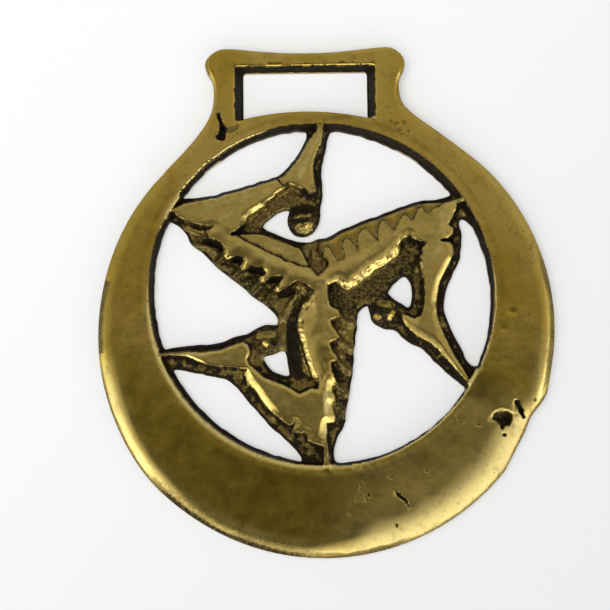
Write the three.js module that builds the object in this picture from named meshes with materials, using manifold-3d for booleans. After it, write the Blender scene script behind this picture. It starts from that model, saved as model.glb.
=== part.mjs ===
// A cast horse brass: a round plate whose border is a crescent, a strap loop on top, and in the round
// opening three armoured legs that run from one hub, each bent at the knee, with a round spur at the heel.
// It is one casting. It lies on its flat back, face up, with the strap loop towards +Y.
// Lengths are millimetres. The drawing's own origin is the middle of the round plate.
import * as THREE from "three";
import { mergeVertices } from "three/addons/utils/BufferGeometryUtils.js";
import Module from "manifold-3d";

const wasm = await Module();
wasm.setup();

// The plate and its bevelled rim. The bevel is wide at the foot and narrow by the strap loop.
// The border is level round the opening, and falls a little towards its outer edge at the foot.
const DISC_RADIUS = 37.51;
const DISC_OUT_OF_ROUND = { amount: 0.2, towards: THREE.MathUtils.degToRad(35) };
const PLATE_THICKNESS = 3;
const RIM_THICKNESS = 1.3;
const RIM_BEVEL = 1.8;
const RIM_BEVEL_LEAN = 1.4;
const RIM_STEPS = 3;
const LEVEL_RADIUS = 24;
const FOOT_FALL = 0.55;
const DISC_SIDES = 120;

// A worn flat on the edge, at the lower right.
const WORN_FLAT = { distance: 36.68, towards: THREE.MathUtils.degToRad(-31) };

// The opening, smaller at the back by its draft. It sits above the plate's middle.
const OPENING_RADIUS = 28;
const OPENING_OUT_OF_ROUND = { amount: 0.45, towards: THREE.MathUtils.degToRad(135) };
const OPENING_DRAFT = 0.7;
const OPENING_CENTRE = new THREE.Vector2(-0.4, 5.76);
const LIP_WIDTH = 0.5;
const LIP_DROP = 0.35;

// The strap loop, which the founder's pattern has a little aslant.
const LOOP_EDGE = 0.45;
const LOOP_SHIFT = -1.41;
const LOOP_SKEW = THREE.MathUtils.degToRad(-2.08);
const WEB_WIDTH = 1.95;
const SLOT_SHIFT = -0.1;
const SLOT_WIDTH = 20.85;
const SLOT_HEIGHT = 7.25;
const SLOT_FOOT_BOW = 1.22;
const SLOT_SPREAD = { side: 1.35, top: 0.6, foot: 0.1 };
const BAR_WIDTH = 2.8;
const NECK_WIDTH = 3.6;
const NECK_BELOW_EAR = 4.51;
const EAR_RADIUS = 2.8;
const EAR_REACH = 1.31;
const EAR_RISE = 1;
const SHOULDERS = { left: 43.3, right: 39.5 };
const SHOULDER_PULL = { neck: 3.8, disc: 11.7 };

// The figure in the opening.
const WEB_THICKNESS = 1.35;
const LEG_THICKNESS = 2.92;
const LEG_BEVEL = 0.55;
const LEG_BEVEL_HEIGHT = 1.1;
const LEG_BEVEL_STEPS = 2;
const NICK_WIDTH = 1.7;
const NICK_REACH = 2.6;
const SPUR_THICKNESS = 2.8;
const SPUR_SIDES = 18;
const SCALE_THICKNESS = 2.2;
const SCALE_RADIUS = 1.75;
const SCALE_SIDES = 10;

// Cutters pass this far beyond what they cut. Curves are drawn with sides of about this length, and edges
// shorter than the smallest detail are closed up.
const PAST = 2;
const CURVE_SIDE = 0.95;
const SMALLEST_DETAIL = 0.01;

// The carver's drawing of the figure. Its points are shares of an opening this wide, about this middle.
const DRAWN_RADIUS = 28;
const DRAWN_MIDDLE = new THREE.Vector2(-0.4, 0.6);

// The windows between the legs. A run of points is one smooth curve, and runs meet in corners.
// The last run of each window that opens on the border closes it outside the round opening.
const WINDOWS = {
  aboveUpperShin: [
    [
      [-23.5, 17.7], [-20.4, 17.8], [-18, 18], [-12, 19.4], [-7, 20.7], [-5.7, 21.5],
      [-3.2, 24.4], [-1.6, 27], [-1.2, 29.8],
    ],
    [[-1.2, 29.8], [-14, 33]],
    [[-14, 33], [-30, 24]],
  ],
  aboveRightThigh: [
    [[2.3, 29.8], [2.1, 27.9], [1.2, 24.7], [0.4, 21.8], [0.25, 20.3], [0.5, 18.1], [0.1, 15.5]],
    [
      [0.1, 15.5], [-0.3, 13], [-1.6, 10.9], [-3.2, 10.4], [-4.6, 11.1], [-5.6, 13.1], [-4.7, 15.2],
    ],
    [[-4.7, 15.2], [-6.8, 15], [-8.2, 14.2], [-10.1, 12.5]],
    [[-10.1, 12.5], [-8, 11.2], [-5, 9.9], [-3.2, 9.4], [-2, 9.3]],
    [[-2, 9.3], [-0.5, 10], [0.5, 9.8], [3, 11], [7, 12.5], [13, 14.4], [16.5, 15.4], [20.5, 15.7], [25, 17]],
    [[25, 17], [31, 26]],
    [[31, 26], [15, 34]],
  ],
  besideRightShin: [
    [[26.9, 9], [25.2, 11], [24.2, 12.1], [23.2, 12.5], [22.8, 11.6], [23.2, 9.2], [22.8, 6.4]],
    [[22.8, 6.4], [22.6, 5.3], [21.3, 3], [20, -0.2], [19.5, -3.2]],
    [[19.5, -3.2], [20.9, -7.2], [22.8, -11.4], [23.7, -12.5], [25.4, -13.6]],
    [[25.4, -13.6], [33, -8]],
    [[33, -8], [33, 6]],
  ],
  belowRightFoot: [
    [[24.6, -17], [22.3, -15.6], [20.6, -14.2], [18.1, -11.8], [16.1, -9.3], [13.5, -7.8], [11.3, -5.6]],
    [[11.3, -5.6], [9.3, -5.4], [7.7, -4], [7.3, -2.4], [7.5, -1.2]],
    [[7.5, -1.2], [6.5, -1.5], [5.1, -2.7]],
    [[5.1, -2.7], [5.1, -4], [4.4, -9], [3.6, -14.4], [2.7, -18.4], [1.9, -21.9]],
    [[1.9, -21.9], [1, -22.8], [0.15, -25.5], [0.25, -27], [1.2, -29.5]],
    [[1.2, -29.5], [12, -34]],
    [[12, -34], [29, -25]],
  ],
  besideLowerShin: [
    [[-4.9, -29], [-4.8, -26.6], [-6, -24.5], [-9.5, -20.9], [-13, -16.8], [-15.6, -13.3]],
    [[-15.6, -13.3], [-17, -12.5], [-21, -11.5], [-24.6, -10.6], [-28, -10.4]],
    [[-28, -10.4], [-32, -22]],
    [[-32, -22], [-15, -33]],
  ],
  belowUpperThigh: [
    [[-29, -7.9], [-26, -7.4], [-23, -6.9], [-18, -6.8], [-14.2, -5.5], [-12.9, -5.6]],
    [[-12.9, -5.6], [-11.6, -4.7], [-10.2, -4], [-7.8, -4.5]],
    [[-7.8, -4.5], [-7.5, -3.5], [-8.3, -2]],
    [
      [-8.3, -2], [-12.1, 1.4], [-15.4, 4.3], [-17.9, 6.4], [-18.6, 7.7], [-21.8, 10.4],
      [-22.1, 11.5], [-24, 13.8], [-27.5, 15.6],
    ],
    [[-27.5, 15.6], [-35, 4]],
  ],
  insideRightKnee: [
    [[10.1, 0.2], [11.8, 2.1], [13.3, 3.4]],
    [[13.3, 3.4], [14.3, 2.4], [14.7, 0], [14.3, -2], [13.8, -2.6]],
    [[13.8, -2.6], [12.1, -1.3], [10.1, 0.2]],
  ],
  insideLowerKnee: [
    [[-11.1, -9.1], [-9, -8.9], [-7.3, -8.1], [-6.7, -8.2]],
    [[-6.7, -8.2], [-6.5, -9.7], [-6.1, -12.8]],
    [[-6.1, -12.8], [-6.9, -12.8], [-9.3, -11.7], [-11.1, -9.1]],
  ],
};

// The legs' polished faces, drawn in the same way, with the nicks cut in them and the spur at each heel.
// A nick starts from its tip and opens the way of its mouth. Scales are the low lobes below the nicked edge.
const LEGS = {
  upper: {
    face: [
      [[-25.4, 17], [-22, 16.9], [-15, 18.3], [-9, 19.6], [-6.6, 20.4]],
      [[-6.6, 20.4], [-5.3, 21.4], [-2.9, 24.4], [-0.9, 27.4], [-0.2, 29.5]],
      [[-0.2, 29.5], [1.3, 29.5]],
      [[1.3, 29.5], [0.9, 26.4], [-0.3, 23.2], [-0.7, 20.4], [-0.6, 18.2], [-1.2, 16.7]],
      [[-1.2, 16.7], [-2.2, 18.1], [-4, 19.4], [-6.2, 18.5]],
      [[-6.2, 18.5], [-9.5, 16.6], [-13.1, 14.1]],
      [[-13.1, 14.1], [-12.8, 13.2], [-15, 11.3]],
      [[-15, 11.3], [-12, 11.3], [-8, 10.3], [-5, 9], [-3.5, 7.4], [-2.5, 5.1]],
      [[-2.5, 5.1], [-0.9, 3.8]],
      [[-0.9, 3.8], [0.3, 2.6]],
      [[0.3, 2.6], [-1.9, 1.2]],
      [[-1.9, 1.2], [-4.3, 2.9], [-9.3, 5.6], [-15.5, 9.1], [-19.1, 11.4]],
      [[-19.1, 11.4], [-18, 12.6]],
      [[-18, 12.6], [-21, 13.9], [-25.2, 15.6]],
    ],
    nicks: [
      { tips: [[-15.3, 8.6], [-12.5, 7.2], [-9.2, 5.2], [-6.7, 3.5]], mouth: [-0.45, -0.9] },
    ],
    scales: [[-20.2, 11.6], [-17.7, 9.2], [-14.8, 7.1], [-11.9, 5.1], [-9.1, 3.2]],
    spur: { middle: [-2.95, 13], radius: 2.45, heel: [-1.5, 17.2] },
  },
  right: {
    face: [
      [[-0.9, 3.8], [0.8, 5]],
      [[0.8, 5], [0.3, 8.4]],
      [[0.3, 8.4], [4.6, 9.5], [10.4, 12.2], [16.8, 14.4], [21, 15.1], [25.2, 15.9]],
      [[25.2, 15.9], [22.9, 14.6], [22, 10.5], [21.6, 5.8], [19.4, 2], [18.4, -1.2], [18.3, -3.2]],
      [[18.3, -3.2], [19.4, -6.5], [21.1, -10.9], [24, -16]],
      [[24, -16], [21, -13.5], [18, -9.8], [15, -7.5], [13.4, -5.8], [12.1, -3.9]],
      [[12.1, -3.9], [13.6, -4.1], [16, -3]],
      [[16, -3], [16.4, -0.6], [16.1, 4.5], [16.2, 7.2], [17.2, 8.2]],
      [[17.2, 8.2], [15.2, 8.6], [14.4, 9.8]],
      [[14.4, 9.8], [12.6, 8.7], [11.2, 6.5], [7.5, 3.8], [4.6, 2.3], [1, 2.5]],
      [[1, 2.5], [0, 1.4]],
      [[0, 1.4], [-1.2, 2.4]],
    ],
    nicks: [
      {
        tips: [[2.4, 6.1], [6.2, 7.4], [9.3, 8.9], [11.9, 10.4], [15.2, 11.9], [17.8, 13]],
        mouth: [-0.4, 1],
      },
      { tips: [[21, 11], [19.9, 8.4]], mouth: [1, 0.05] },
    ],
    scales: [],
    spur: { middle: [9.75, -3.1], radius: 2.3, heel: [13, -4.2] },
  },
  lower: {
    face: [
      [[0.8, 2.4], [-0.6, 3.2]],
      [[-0.6, 3.2], [-1.9, 1.2]],
      [[-1.9, 1.2], [-2.7, -1.2], [-3.75, -4.5], [-3.95, -9.5], [-3.2, -11.9], [-1.9, -15.1]],
      [[-1.9, -15.1], [-4.9, -15.9], [-8, -14.3], [-11.6, -12.5], [-12.9, -11]],
      [[-12.9, -11], [-12.8, -8], [-14.2, -6.6]],
      [[-14.2, -6.6], [-18, -7.8], [-23, -7.9], [-28.2, -8.3]],
      [[-28.2, -8.3], [-28.2, -9]],
      [[-28.2, -9], [-23, -9], [-19, -10.7], [-14.6, -10.8]],
      [[-14.6, -10.8], [-13.3, -13.1], [-9.3, -18.6], [-5, -22.2], [-1.2, -25.6], [-0.9, -28.5]],
      [[-0.9, -28.5], [-0.3, -28.5]],
      [[-0.3, -28.5], [-0.5, -23], [0.8, -20], [1.2, -14.3], [2.4, -7.1], [2.3, -3], [0.8, 0.4]],
      [[0.8, 0.4], [0.8, 2.4]],
    ],
    nicks: [
      {
        tips: [[0.9, -3.8], [0.6, -7.5], [0.6, -10.8], [0.2, -14.6], [0, -17.7], [-0.6, -20.8]],
        mouth: [1, -0.3],
      },
      { tips: [[-5.6, -20.2], [-3.9, -22]], mouth: [-0.75, -1] },
    ],
    scales: [],
    spur: { middle: [-9.85, -6.4], radius: 2.3, heel: [-13, -8.4] },
  },
};

// A three.js geometry as a solid, with its shared corners merged.
function solid(geometry) {
  const bare = geometry.clone();
  bare.deleteAttribute("normal");
  bare.deleteAttribute("uv");
  const merged = mergeVertices(bare, 1e-4);
  const vertProperties = merged.attributes.position.array;
  const triVerts = new Uint32Array(merged.index.array);
  return new wasm.Manifold(new wasm.Mesh({ numProp: 3, vertProperties, triVerts }));
}

// A solid as a three.js geometry.
function geometryOf(made) {
  const { vertProperties, triVerts } = made.getMesh();
  const geometry = new THREE.BufferGeometry();
  geometry.setAttribute("position", new THREE.BufferAttribute(vertProperties, 3));
  geometry.setIndex(new THREE.BufferAttribute(triVerts, 1));
  geometry.computeVertexNormals();
  return geometry;
}

// A point of the carver's drawing, carried into the opening at its real size.
function drawn([x, y]) {
  const share = OPENING_RADIUS / DRAWN_RADIUS;
  return new THREE.Vector2(x, y).sub(DRAWN_MIDDLE).multiplyScalar(share).add(OPENING_CENTRE);
}

// Points along one smooth run, without its last point, which the next run starts with.
function along(points) {
  if (points.length === 2) return [points[0]];
  const curve = new THREE.SplineCurve(points);
  const sides = Math.max(2, Math.round(curve.getLength() / CURVE_SIDE));
  return curve.getSpacedPoints(sides).slice(0, -1);
}

function outline(runs) {
  return new THREE.Shape(runs.flatMap((run) => along(run.map(drawn))));
}

// How much a nearly round outline stands out of its circle at one angle.
function outOfRound({ amount, towards }, angle) {
  return amount * Math.cos(2 * (angle - towards));
}

// Pushes a round geometry's points out of round, the more the farther they are from its axis.
function pressed(geometry, radius, shape) {
  const place = geometry.attributes.position;
  for (let i = 0; i < place.count; i++) {
    const [x, y] = [place.getX(i), place.getY(i)];
    const grown = 1 + outOfRound(shape, Math.atan2(y, x)) / radius;
    place.setXY(i, x * grown, y * grown);
  }
  return geometry;
}

// A straight-sided slab of an outline from one height to another.
function slab(shape, bottom, top) {
  const made = new THREE.ExtrudeGeometry(shape, { depth: top - bottom, bevelEnabled: false });
  return solid(made.translate(0, 0, bottom));
}

// A slab whose upper edge is rounded off: its outline is that of the flat top, and its foot is wider.
function crowned(shape, foot, top, bevel) {
  const made = new THREE.ExtrudeGeometry(shape, {
    depth: top,
    bevelThickness: bevel.height,
    bevelSize: bevel.width,
    bevelSegments: bevel.steps,
  });
  return above(foot, solid(made.translate(0, 0, -bevel.height)));
}

// What of a solid lies above a level.
function above(level, made) {
  const reach = 4 * DISC_RADIUS;
  const below = new THREE.BoxGeometry(reach, reach, reach).translate(0, 0, level - reach / 2);
  return made.subtract(solid(below));
}

// A cone frustum that widens upwards, given by its radius on the back and by its draft over the plate.
function tapered(radius, draft, centre, sides) {
  const slope = draft / PLATE_THICKNESS;
  const height = PLATE_THICKNESS + 2 * PAST;
  const made = new THREE.CylinderGeometry(
    radius + slope * (PLATE_THICKNESS + PAST),
    radius - slope * PAST,
    height,
    sides,
  ).rotateX(Math.PI / 2);
  pressed(made, radius, OPENING_OUT_OF_ROUND);
  return solid(made.translate(centre.x, centre.y, height / 2 - PAST));
}

// The round plate, with a bevel that leans towards the strap loop.
function disc() {
  const profile = [new THREE.Vector2(0, 0), new THREE.Vector2(DISC_RADIUS, 0)];
  for (let i = 0; i <= RIM_STEPS; i++) {
    const angle = ((i / RIM_STEPS) * Math.PI) / 2;
    const inset = RIM_BEVEL * (1 - Math.cos(angle));
    const height = RIM_THICKNESS + (PLATE_THICKNESS - RIM_THICKNESS) * Math.sin(angle);
    profile.push(new THREE.Vector2(DISC_RADIUS - inset, height));
  }
  profile.push(new THREE.Vector2(LEVEL_RADIUS, PLATE_THICKNESS), new THREE.Vector2(0, PLATE_THICKNESS));
  const made = new THREE.LatheGeometry(profile, DISC_SIDES).rotateX(Math.PI / 2);
  const place = made.attributes.position;
  for (let i = 0; i < place.count; i++) {
    const [x, y, z] = [place.getX(i), place.getY(i), place.getZ(i)];
    const inset = DISC_RADIUS - Math.hypot(x, y);
    if (z < RIM_THICKNESS / 2 || inset > DISC_RADIUS - LEVEL_RADIUS / 2) continue;
    const share = Math.min(1, inset / RIM_BEVEL);
    const atRim = inset < DISC_RADIUS - LEVEL_RADIUS - RIM_BEVEL;
    const foot = Math.max(0, -y / DISC_RADIUS);
    place.setY(i, y + (atRim ? RIM_BEVEL_LEAN * share : 0));
    place.setZ(i, z - (atRim ? FOOT_FALL * foot * share : 0));
  }
  return solid(pressed(made, DISC_RADIUS, DISC_OUT_OF_ROUND));
}

// What the worn flat takes off the plate's edge.
function wornAway() {
  const block = new THREE.BoxGeometry(DISC_RADIUS, DISC_RADIUS, 3 * PLATE_THICKNESS);
  block.translate(WORN_FLAT.distance + DISC_RADIUS / 2, 0, 0);
  return solid(block.rotateZ(WORN_FLAT.towards));
}

// The small chamfer that runs round the opening's upper edge.
function lip() {
  const radius = OPENING_RADIUS + OPENING_DRAFT;
  const height = LIP_DROP + PAST;
  const slope = LIP_WIDTH / LIP_DROP;
  const made = new THREE.CylinderGeometry(
    radius + LIP_WIDTH + slope * PAST,
    radius,
    height,
    DISC_SIDES,
  ).rotateX(Math.PI / 2);
  pressed(made, radius, OPENING_OUT_OF_ROUND);
  const middle = PLATE_THICKNESS - LIP_DROP + height / 2;
  return solid(made.translate(OPENING_CENTRE.x, OPENING_CENTRE.y, middle));
}

// The heights and widths of the strap loop that follow from its sizes, about its own middle line.
function loopSizes() {
  const slotFoot = OPENING_CENTRE.y + OPENING_RADIUS + OPENING_DRAFT + WEB_WIDTH;
  const slotTop = slotFoot + SLOT_HEIGHT;
  const neck = SLOT_WIDTH / 2 + SLOT_SPREAD.side + NECK_WIDTH;
  const earX = neck + EAR_REACH - EAR_RADIUS;
  const earY = slotTop + BAR_WIDTH + EAR_RISE - EAR_RADIUS;
  return { slotFoot, slotTop, neck, earX, earY, neckY: earY - NECK_BELOW_EAR };
}

// A point of the loop's own upright drawing, set aslant and to its side.
function aslant(x, y) {
  const pivot = new THREE.Vector2(LOOP_SHIFT, loopSizes().neckY);
  return new THREE.Vector2(x + LOOP_SHIFT, y).rotateAround(pivot, LOOP_SKEW);
}

// One side of the strap loop's outline, from the plate's edge up to the middle of the top bar.
// side is -1 for the left one and 1 for the right one.
function loopSide(side, shoulder) {
  const { slotTop, neck, earX, earY, neckY } = loopSizes();
  const turn = THREE.MathUtils.degToRad(shoulder);
  const radius = DISC_RADIUS + outOfRound(DISC_OUT_OF_ROUND, Math.PI / 2 - side * turn);
  const onDisc = new THREE.Vector2(side * Math.sin(turn), Math.cos(turn)).multiplyScalar(radius);
  const upTheDisc = new THREE.Vector2(-side * Math.cos(turn), Math.sin(turn));
  const waist = aslant(side * neck, neckY);
  const rise = new THREE.CubicBezierCurve(
    onDisc,
    onDisc.clone().addScaledVector(upTheDisc, SHOULDER_PULL.disc),
    aslant(side * neck, neckY - SHOULDER_PULL.neck),
    waist,
  );
  const lower = THREE.MathUtils.degToRad(-35);
  const upper = THREE.MathUtils.degToRad(95);
  const ear = (angle) =>
    aslant(side * (earX + EAR_RADIUS * Math.cos(angle)), earY + EAR_RADIUS * Math.sin(angle));
  const earPoints = Array.from({ length: 8 }, (_, i) => ear(lower + ((upper - lower) * i) / 7));
  const bar = new THREE.CubicBezierCurve(
    earPoints.at(-1),
    aslant(side * earX * 0.7, slotTop + BAR_WIDTH + EAR_RISE * 0.75),
    aslant(side * earX * 0.45, slotTop + BAR_WIDTH),
    aslant(0, slotTop + BAR_WIDTH),
  );
  const flare = new THREE.QuadraticBezierCurve(waist, aslant(side * neck, earY - EAR_RADIUS), earPoints[0]);
  return [
    ...rise.getPoints(14).slice(0, -1),
    ...flare.getPoints(4).slice(0, -1),
    ...earPoints.slice(0, -1),
    ...bar.getPoints(8),
  ];
}

// The strap loop's plate, from shoulder to shoulder. It reaches down into the round plate.
function strapLoop() {
  const left = loopSide(-1, SHOULDERS.left);
  const right = loopSide(1, SHOULDERS.right);
  const chord = (point) => point.clone().multiplyScalar(1 - RIM_BEVEL / DISC_RADIUS);
  const round = [chord(right[0]), new THREE.Vector2(0, OPENING_CENTRE.y), chord(left[0])];
  const shape = new THREE.Shape([...left, ...right.slice(0, -1).reverse(), ...round]);
  const edge = { width: LOOP_EDGE, height: LOOP_EDGE, steps: 1 };
  const flat = new THREE.ExtrudeGeometry(shape, {
    depth: PLATE_THICKNESS,
    bevelThickness: edge.height,
    bevelSize: edge.width,
    bevelOffset: -edge.width,
    bevelSegments: edge.steps,
  });
  return above(0, solid(flat.translate(0, 0, -edge.height)));
}

// The slot for the strap, as it is at the back. Its foot is bowed upwards.
// It is wider at the face by its spread, for which the cutter's upper end is drawn out.
function slot() {
  const { slotFoot, slotTop } = loopSizes();
  const half = SLOT_WIDTH / 2;
  const low = slotFoot - SLOT_FOOT_BOW;
  const corner = (across, y) => aslant(SLOT_SHIFT + across * half, y);
  const foot = new THREE.QuadraticBezierCurve(
    corner(-1, low),
    corner(0, slotFoot + SLOT_FOOT_BOW),
    corner(1, low),
  );
  const shape = new THREE.Shape([...foot.getPoints(12), corner(1, slotTop), corner(-1, slotTop)]);
  const height = PLATE_THICKNESS + 2 * PAST;
  const made = new THREE.ExtrudeGeometry(shape, { depth: height, bevelEnabled: false });
  made.translate(0, 0, -PAST);
  const place = made.attributes.position;
  for (let i = 0; i < place.count; i++) {
    const [x, y, level] = [place.getX(i), place.getY(i), place.getZ(i) / PLATE_THICKNESS];
    const across = (x - LOOP_SHIFT) / half;
    const up = (y - low) / (slotTop - low);
    const rise = THREE.MathUtils.lerp(-SLOT_SPREAD.foot, SLOT_SPREAD.top, up);
    place.setXY(i, x + level * across * SLOT_SPREAD.side, y + level * rise);
  }
  return solid(made);
}

// A wedge that cuts a nick into a leg's face.
function nick(tip, mouth) {
  const start = drawn(tip);
  const way = new THREE.Vector2(...mouth).normalize();
  const across = new THREE.Vector2(-way.y, way.x).multiplyScalar(NICK_WIDTH / 2);
  const end = start.clone().addScaledVector(way, NICK_REACH);
  const shape = new THREE.Shape([start, end.clone().sub(across), end.clone().add(across)]);
  return slab(shape, WEB_THICKNESS, LEG_THICKNESS + PAST);
}

// A low dome that stands on the back: a spur's ball or one scale.
function dome(middle, radius, height, sides) {
  const ball = new THREE.SphereGeometry(radius, sides, sides / 2);
  const place = drawn(middle);
  return above(0, solid(ball.scale(1, 1, height / radius).translate(place.x, place.y, 0)));
}

// A spur: its ball, and the stem that carries it from the heel.
function spur({ middle, radius, heel }) {
  const from = drawn(heel);
  const to = drawn(middle);
  const across = to.clone().sub(from).rotateAround(new THREE.Vector2(), Math.PI / 2);
  across.setLength(radius / 2);
  const shape = new THREE.Shape([
    from.clone().sub(across),
    to.clone().sub(across),
    to.clone().add(across),
    from.clone().add(across),
  ]);
  const stem = slab(shape, 0, (WEB_THICKNESS + SPUR_THICKNESS) / 2);
  return stem.add(dome(middle, radius, SPUR_THICKNESS, SPUR_SIDES));
}

// One leg: its crowned face with the nicks cut in, its scales and its spur.
function leg({ face, nicks, scales, spur: spurSizes }) {
  const bevel = { width: LEG_BEVEL, height: LEG_BEVEL_HEIGHT, steps: LEG_BEVEL_STEPS };
  let made = crowned(outline(face), WEB_THICKNESS / 2, LEG_THICKNESS, bevel);
  for (const { tips, mouth } of nicks)
    for (const tip of tips) made = made.subtract(nick(tip, mouth));
  for (const scale of scales) made = made.add(dome(scale, SCALE_RADIUS, SCALE_THICKNESS, SCALE_SIDES));
  return made.add(spur(spurSizes));
}

// The thin web under the legs, pierced by the windows.
function web() {
  const reach = OPENING_RADIUS + OPENING_DRAFT + LIP_WIDTH;
  const round = new THREE.CylinderGeometry(reach, reach, WEB_THICKNESS, DISC_SIDES);
  round.rotateX(Math.PI / 2).translate(OPENING_CENTRE.x, OPENING_CENTRE.y, WEB_THICKNESS / 2);
  return solid(round);
}

function casting() {
  const opening = tapered(OPENING_RADIUS, OPENING_DRAFT, OPENING_CENTRE, DISC_SIDES);
  const plate = disc().subtract(wornAway()).add(strapLoop());
  const border = plate.subtract(opening).subtract(lip()).subtract(slot());
  let figure = web();
  for (const made of Object.values(LEGS)) figure = figure.add(leg(made));
  for (const runs of Object.values(WINDOWS))
    figure = figure.subtract(slab(outline(runs), -PAST, PLATE_THICKNESS + PAST));
  return border.add(figure).simplify(SMALLEST_DETAIL);
}

const geometry = geometryOf(casting());
geometry.computeBoundingBox();
const middle = geometry.boundingBox.getCenter(new THREE.Vector3());
geometry.translate(-middle.x, -middle.y, 0);

const brass = new THREE.MeshStandardMaterial({ color: 0x9a7b35, metalness: 1, roughness: 0.32 });
const plaque = new THREE.Mesh(geometry, brass);
plaque.name = "brass_casting";

const group = new THREE.Group();
group.add(plaque);

export default group;
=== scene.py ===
"""A cast horse brass that lies face up on a white table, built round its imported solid.

The solid gives the outline, the windows and the stepped heights. From these a relief is made on a fine
raster, on which the legs are rounded, the edges bevelled and the founder's flaws cut. The relief becomes
one closed mesh, which stands for the solid. Lengths are millimetres until the mesh is written in metres.
"""

import logging
import math
from dataclasses import dataclass
from enum import Enum

import bpy
import numpy as np
from mathutils import Matrix, Vector
from mathutils.bvhtree import BVHTree
from mathutils.geometry import delaunay_2d_cdt


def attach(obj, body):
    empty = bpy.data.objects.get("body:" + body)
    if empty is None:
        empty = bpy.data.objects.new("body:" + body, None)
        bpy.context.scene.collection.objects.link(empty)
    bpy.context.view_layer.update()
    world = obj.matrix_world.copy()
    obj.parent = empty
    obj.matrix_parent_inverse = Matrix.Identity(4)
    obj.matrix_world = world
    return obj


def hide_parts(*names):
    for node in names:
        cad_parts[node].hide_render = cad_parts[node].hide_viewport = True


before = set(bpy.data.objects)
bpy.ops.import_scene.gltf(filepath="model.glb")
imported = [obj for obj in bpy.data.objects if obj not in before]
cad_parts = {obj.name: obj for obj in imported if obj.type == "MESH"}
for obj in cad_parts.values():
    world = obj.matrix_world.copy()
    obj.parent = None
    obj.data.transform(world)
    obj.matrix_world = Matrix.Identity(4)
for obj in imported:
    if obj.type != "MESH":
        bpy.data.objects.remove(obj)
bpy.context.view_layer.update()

MILLIMETRE = 0.001
log = logging.getLogger("brass")

Point = tuple[float, float]
Colour = tuple[float, float, float]
Window = tuple[slice, slice]


def ease(low: float | np.ndarray, high: float | np.ndarray, values: np.ndarray) -> np.ndarray:
    """Rises smoothly from 0 at low to 1 at high.

    Args:
        low: The value that gives 0. It may be the larger one, for a fall.
        high: The value that gives 1.
        values: Any array.

    Returns:
        The eased array.
    """
    share = np.clip((values - low) / (high - low), 0.0, 1.0)
    return share * share * (3.0 - 2.0 * share)


def sector(turn: np.ndarray, start: float, full: float, last: float, end: float) -> np.ndarray:
    """Gives 1 between two angles, easing in and out beside them.

    Args:
        turn: Angles in degrees.
        start: Where the rise from 0 starts.
        full: Where it reaches 1.
        last: Where the fall from 1 starts.
        end: Where it reaches 0.

    Returns:
        The share at each angle.
    """
    return ease(start, full, turn) * ease(end, last, turn)


def enclosed(points: np.ndarray, loops: list[np.ndarray]) -> np.ndarray:
    """Tells which points lie between outlines, by how often a line to the right crosses them.

    Args:
        points: The points, a row each.
        loops: The closed outlines.

    Returns:
        True for each point that lies inside.
    """
    batch = 2000
    odd = np.zeros(len(points), dtype=bool)
    for loop in loops:
        a, b = loop, np.roll(loop, -1, axis=0)
        rise = np.where(b[:, 1] == a[:, 1], 1.0, b[:, 1] - a[:, 1])
        slant = ((b - a)[:, 0] / rise)[None, :]
        for start in range(0, len(points), batch):
            p = points[start : start + batch]
            spans = (a[None, :, 1] > p[:, None, 1]) != (b[None, :, 1] > p[:, None, 1])
            cross = a[None, :, 0] + (p[:, None, 1] - a[None, :, 1]) * slant
            crossings = np.sum(spans & (cross > p[:, None, 0]), axis=1)
            odd[start : start + batch] ^= (crossings % 2).astype(bool)
    return odd


def outward(loop: np.ndarray) -> np.ndarray:
    """Gives the direction away from the metal at each point of an outline."""
    ahead = np.roll(loop, -1, axis=0) - np.roll(loop, 1, axis=0)
    return np.stack([ahead[:, 1], -ahead[:, 0]], axis=1) / np.hypot(*ahead.T)[:, None]


class Cut(Enum):
    """What a stroke does to the face beside its path."""

    GROOVE = "groove"
    PIT = "pit"
    SWELL = "swell"
    RIDGE = "ridge"
    # A stain lays soot, which beside the legs' edges and teeth is painted shade.
    STAIN = "stain"
    # A rub paints the face pale, as wear and in places as a painted highlight.
    RUB = "rub"


@dataclass(frozen=True)
class Stroke:
    """A path over the face, along which it is lowered, raised, stained or rubbed pale. Some stains are
    painted shade, and some rubbed places are painted highlights.

    A swell shapes only what lies below the legs' faces, a ridge shapes anything. A negative soot leaves
    the soot as it is, and a rub's depth says how pale the face is painted there, as wear and as sheen.
    """

    path: tuple[Point, ...]
    width: float
    depth: float
    kind: Cut = Cut.GROOVE
    ragged: float = 0.0
    soot: float = 0.9


@dataclass(frozen=True)
class Push:
    """A place where the outline is moved a little, with how far round it the move fades out."""

    at: Point
    reach: float
    shift: Point


@dataclass(frozen=True)
class Slope:
    """A stretch beside which a face's wall slopes gently, and how bright it is worn there."""

    path: tuple[Point, ...]
    width: float
    glint: float


@dataclass(frozen=True)
class Rounding:
    """A stretch of a face's edge that is worn round."""

    path: tuple[Point, ...]
    radius: float
    fall: float
    reach: float = 1.2
    power: float = 1.6


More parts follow.
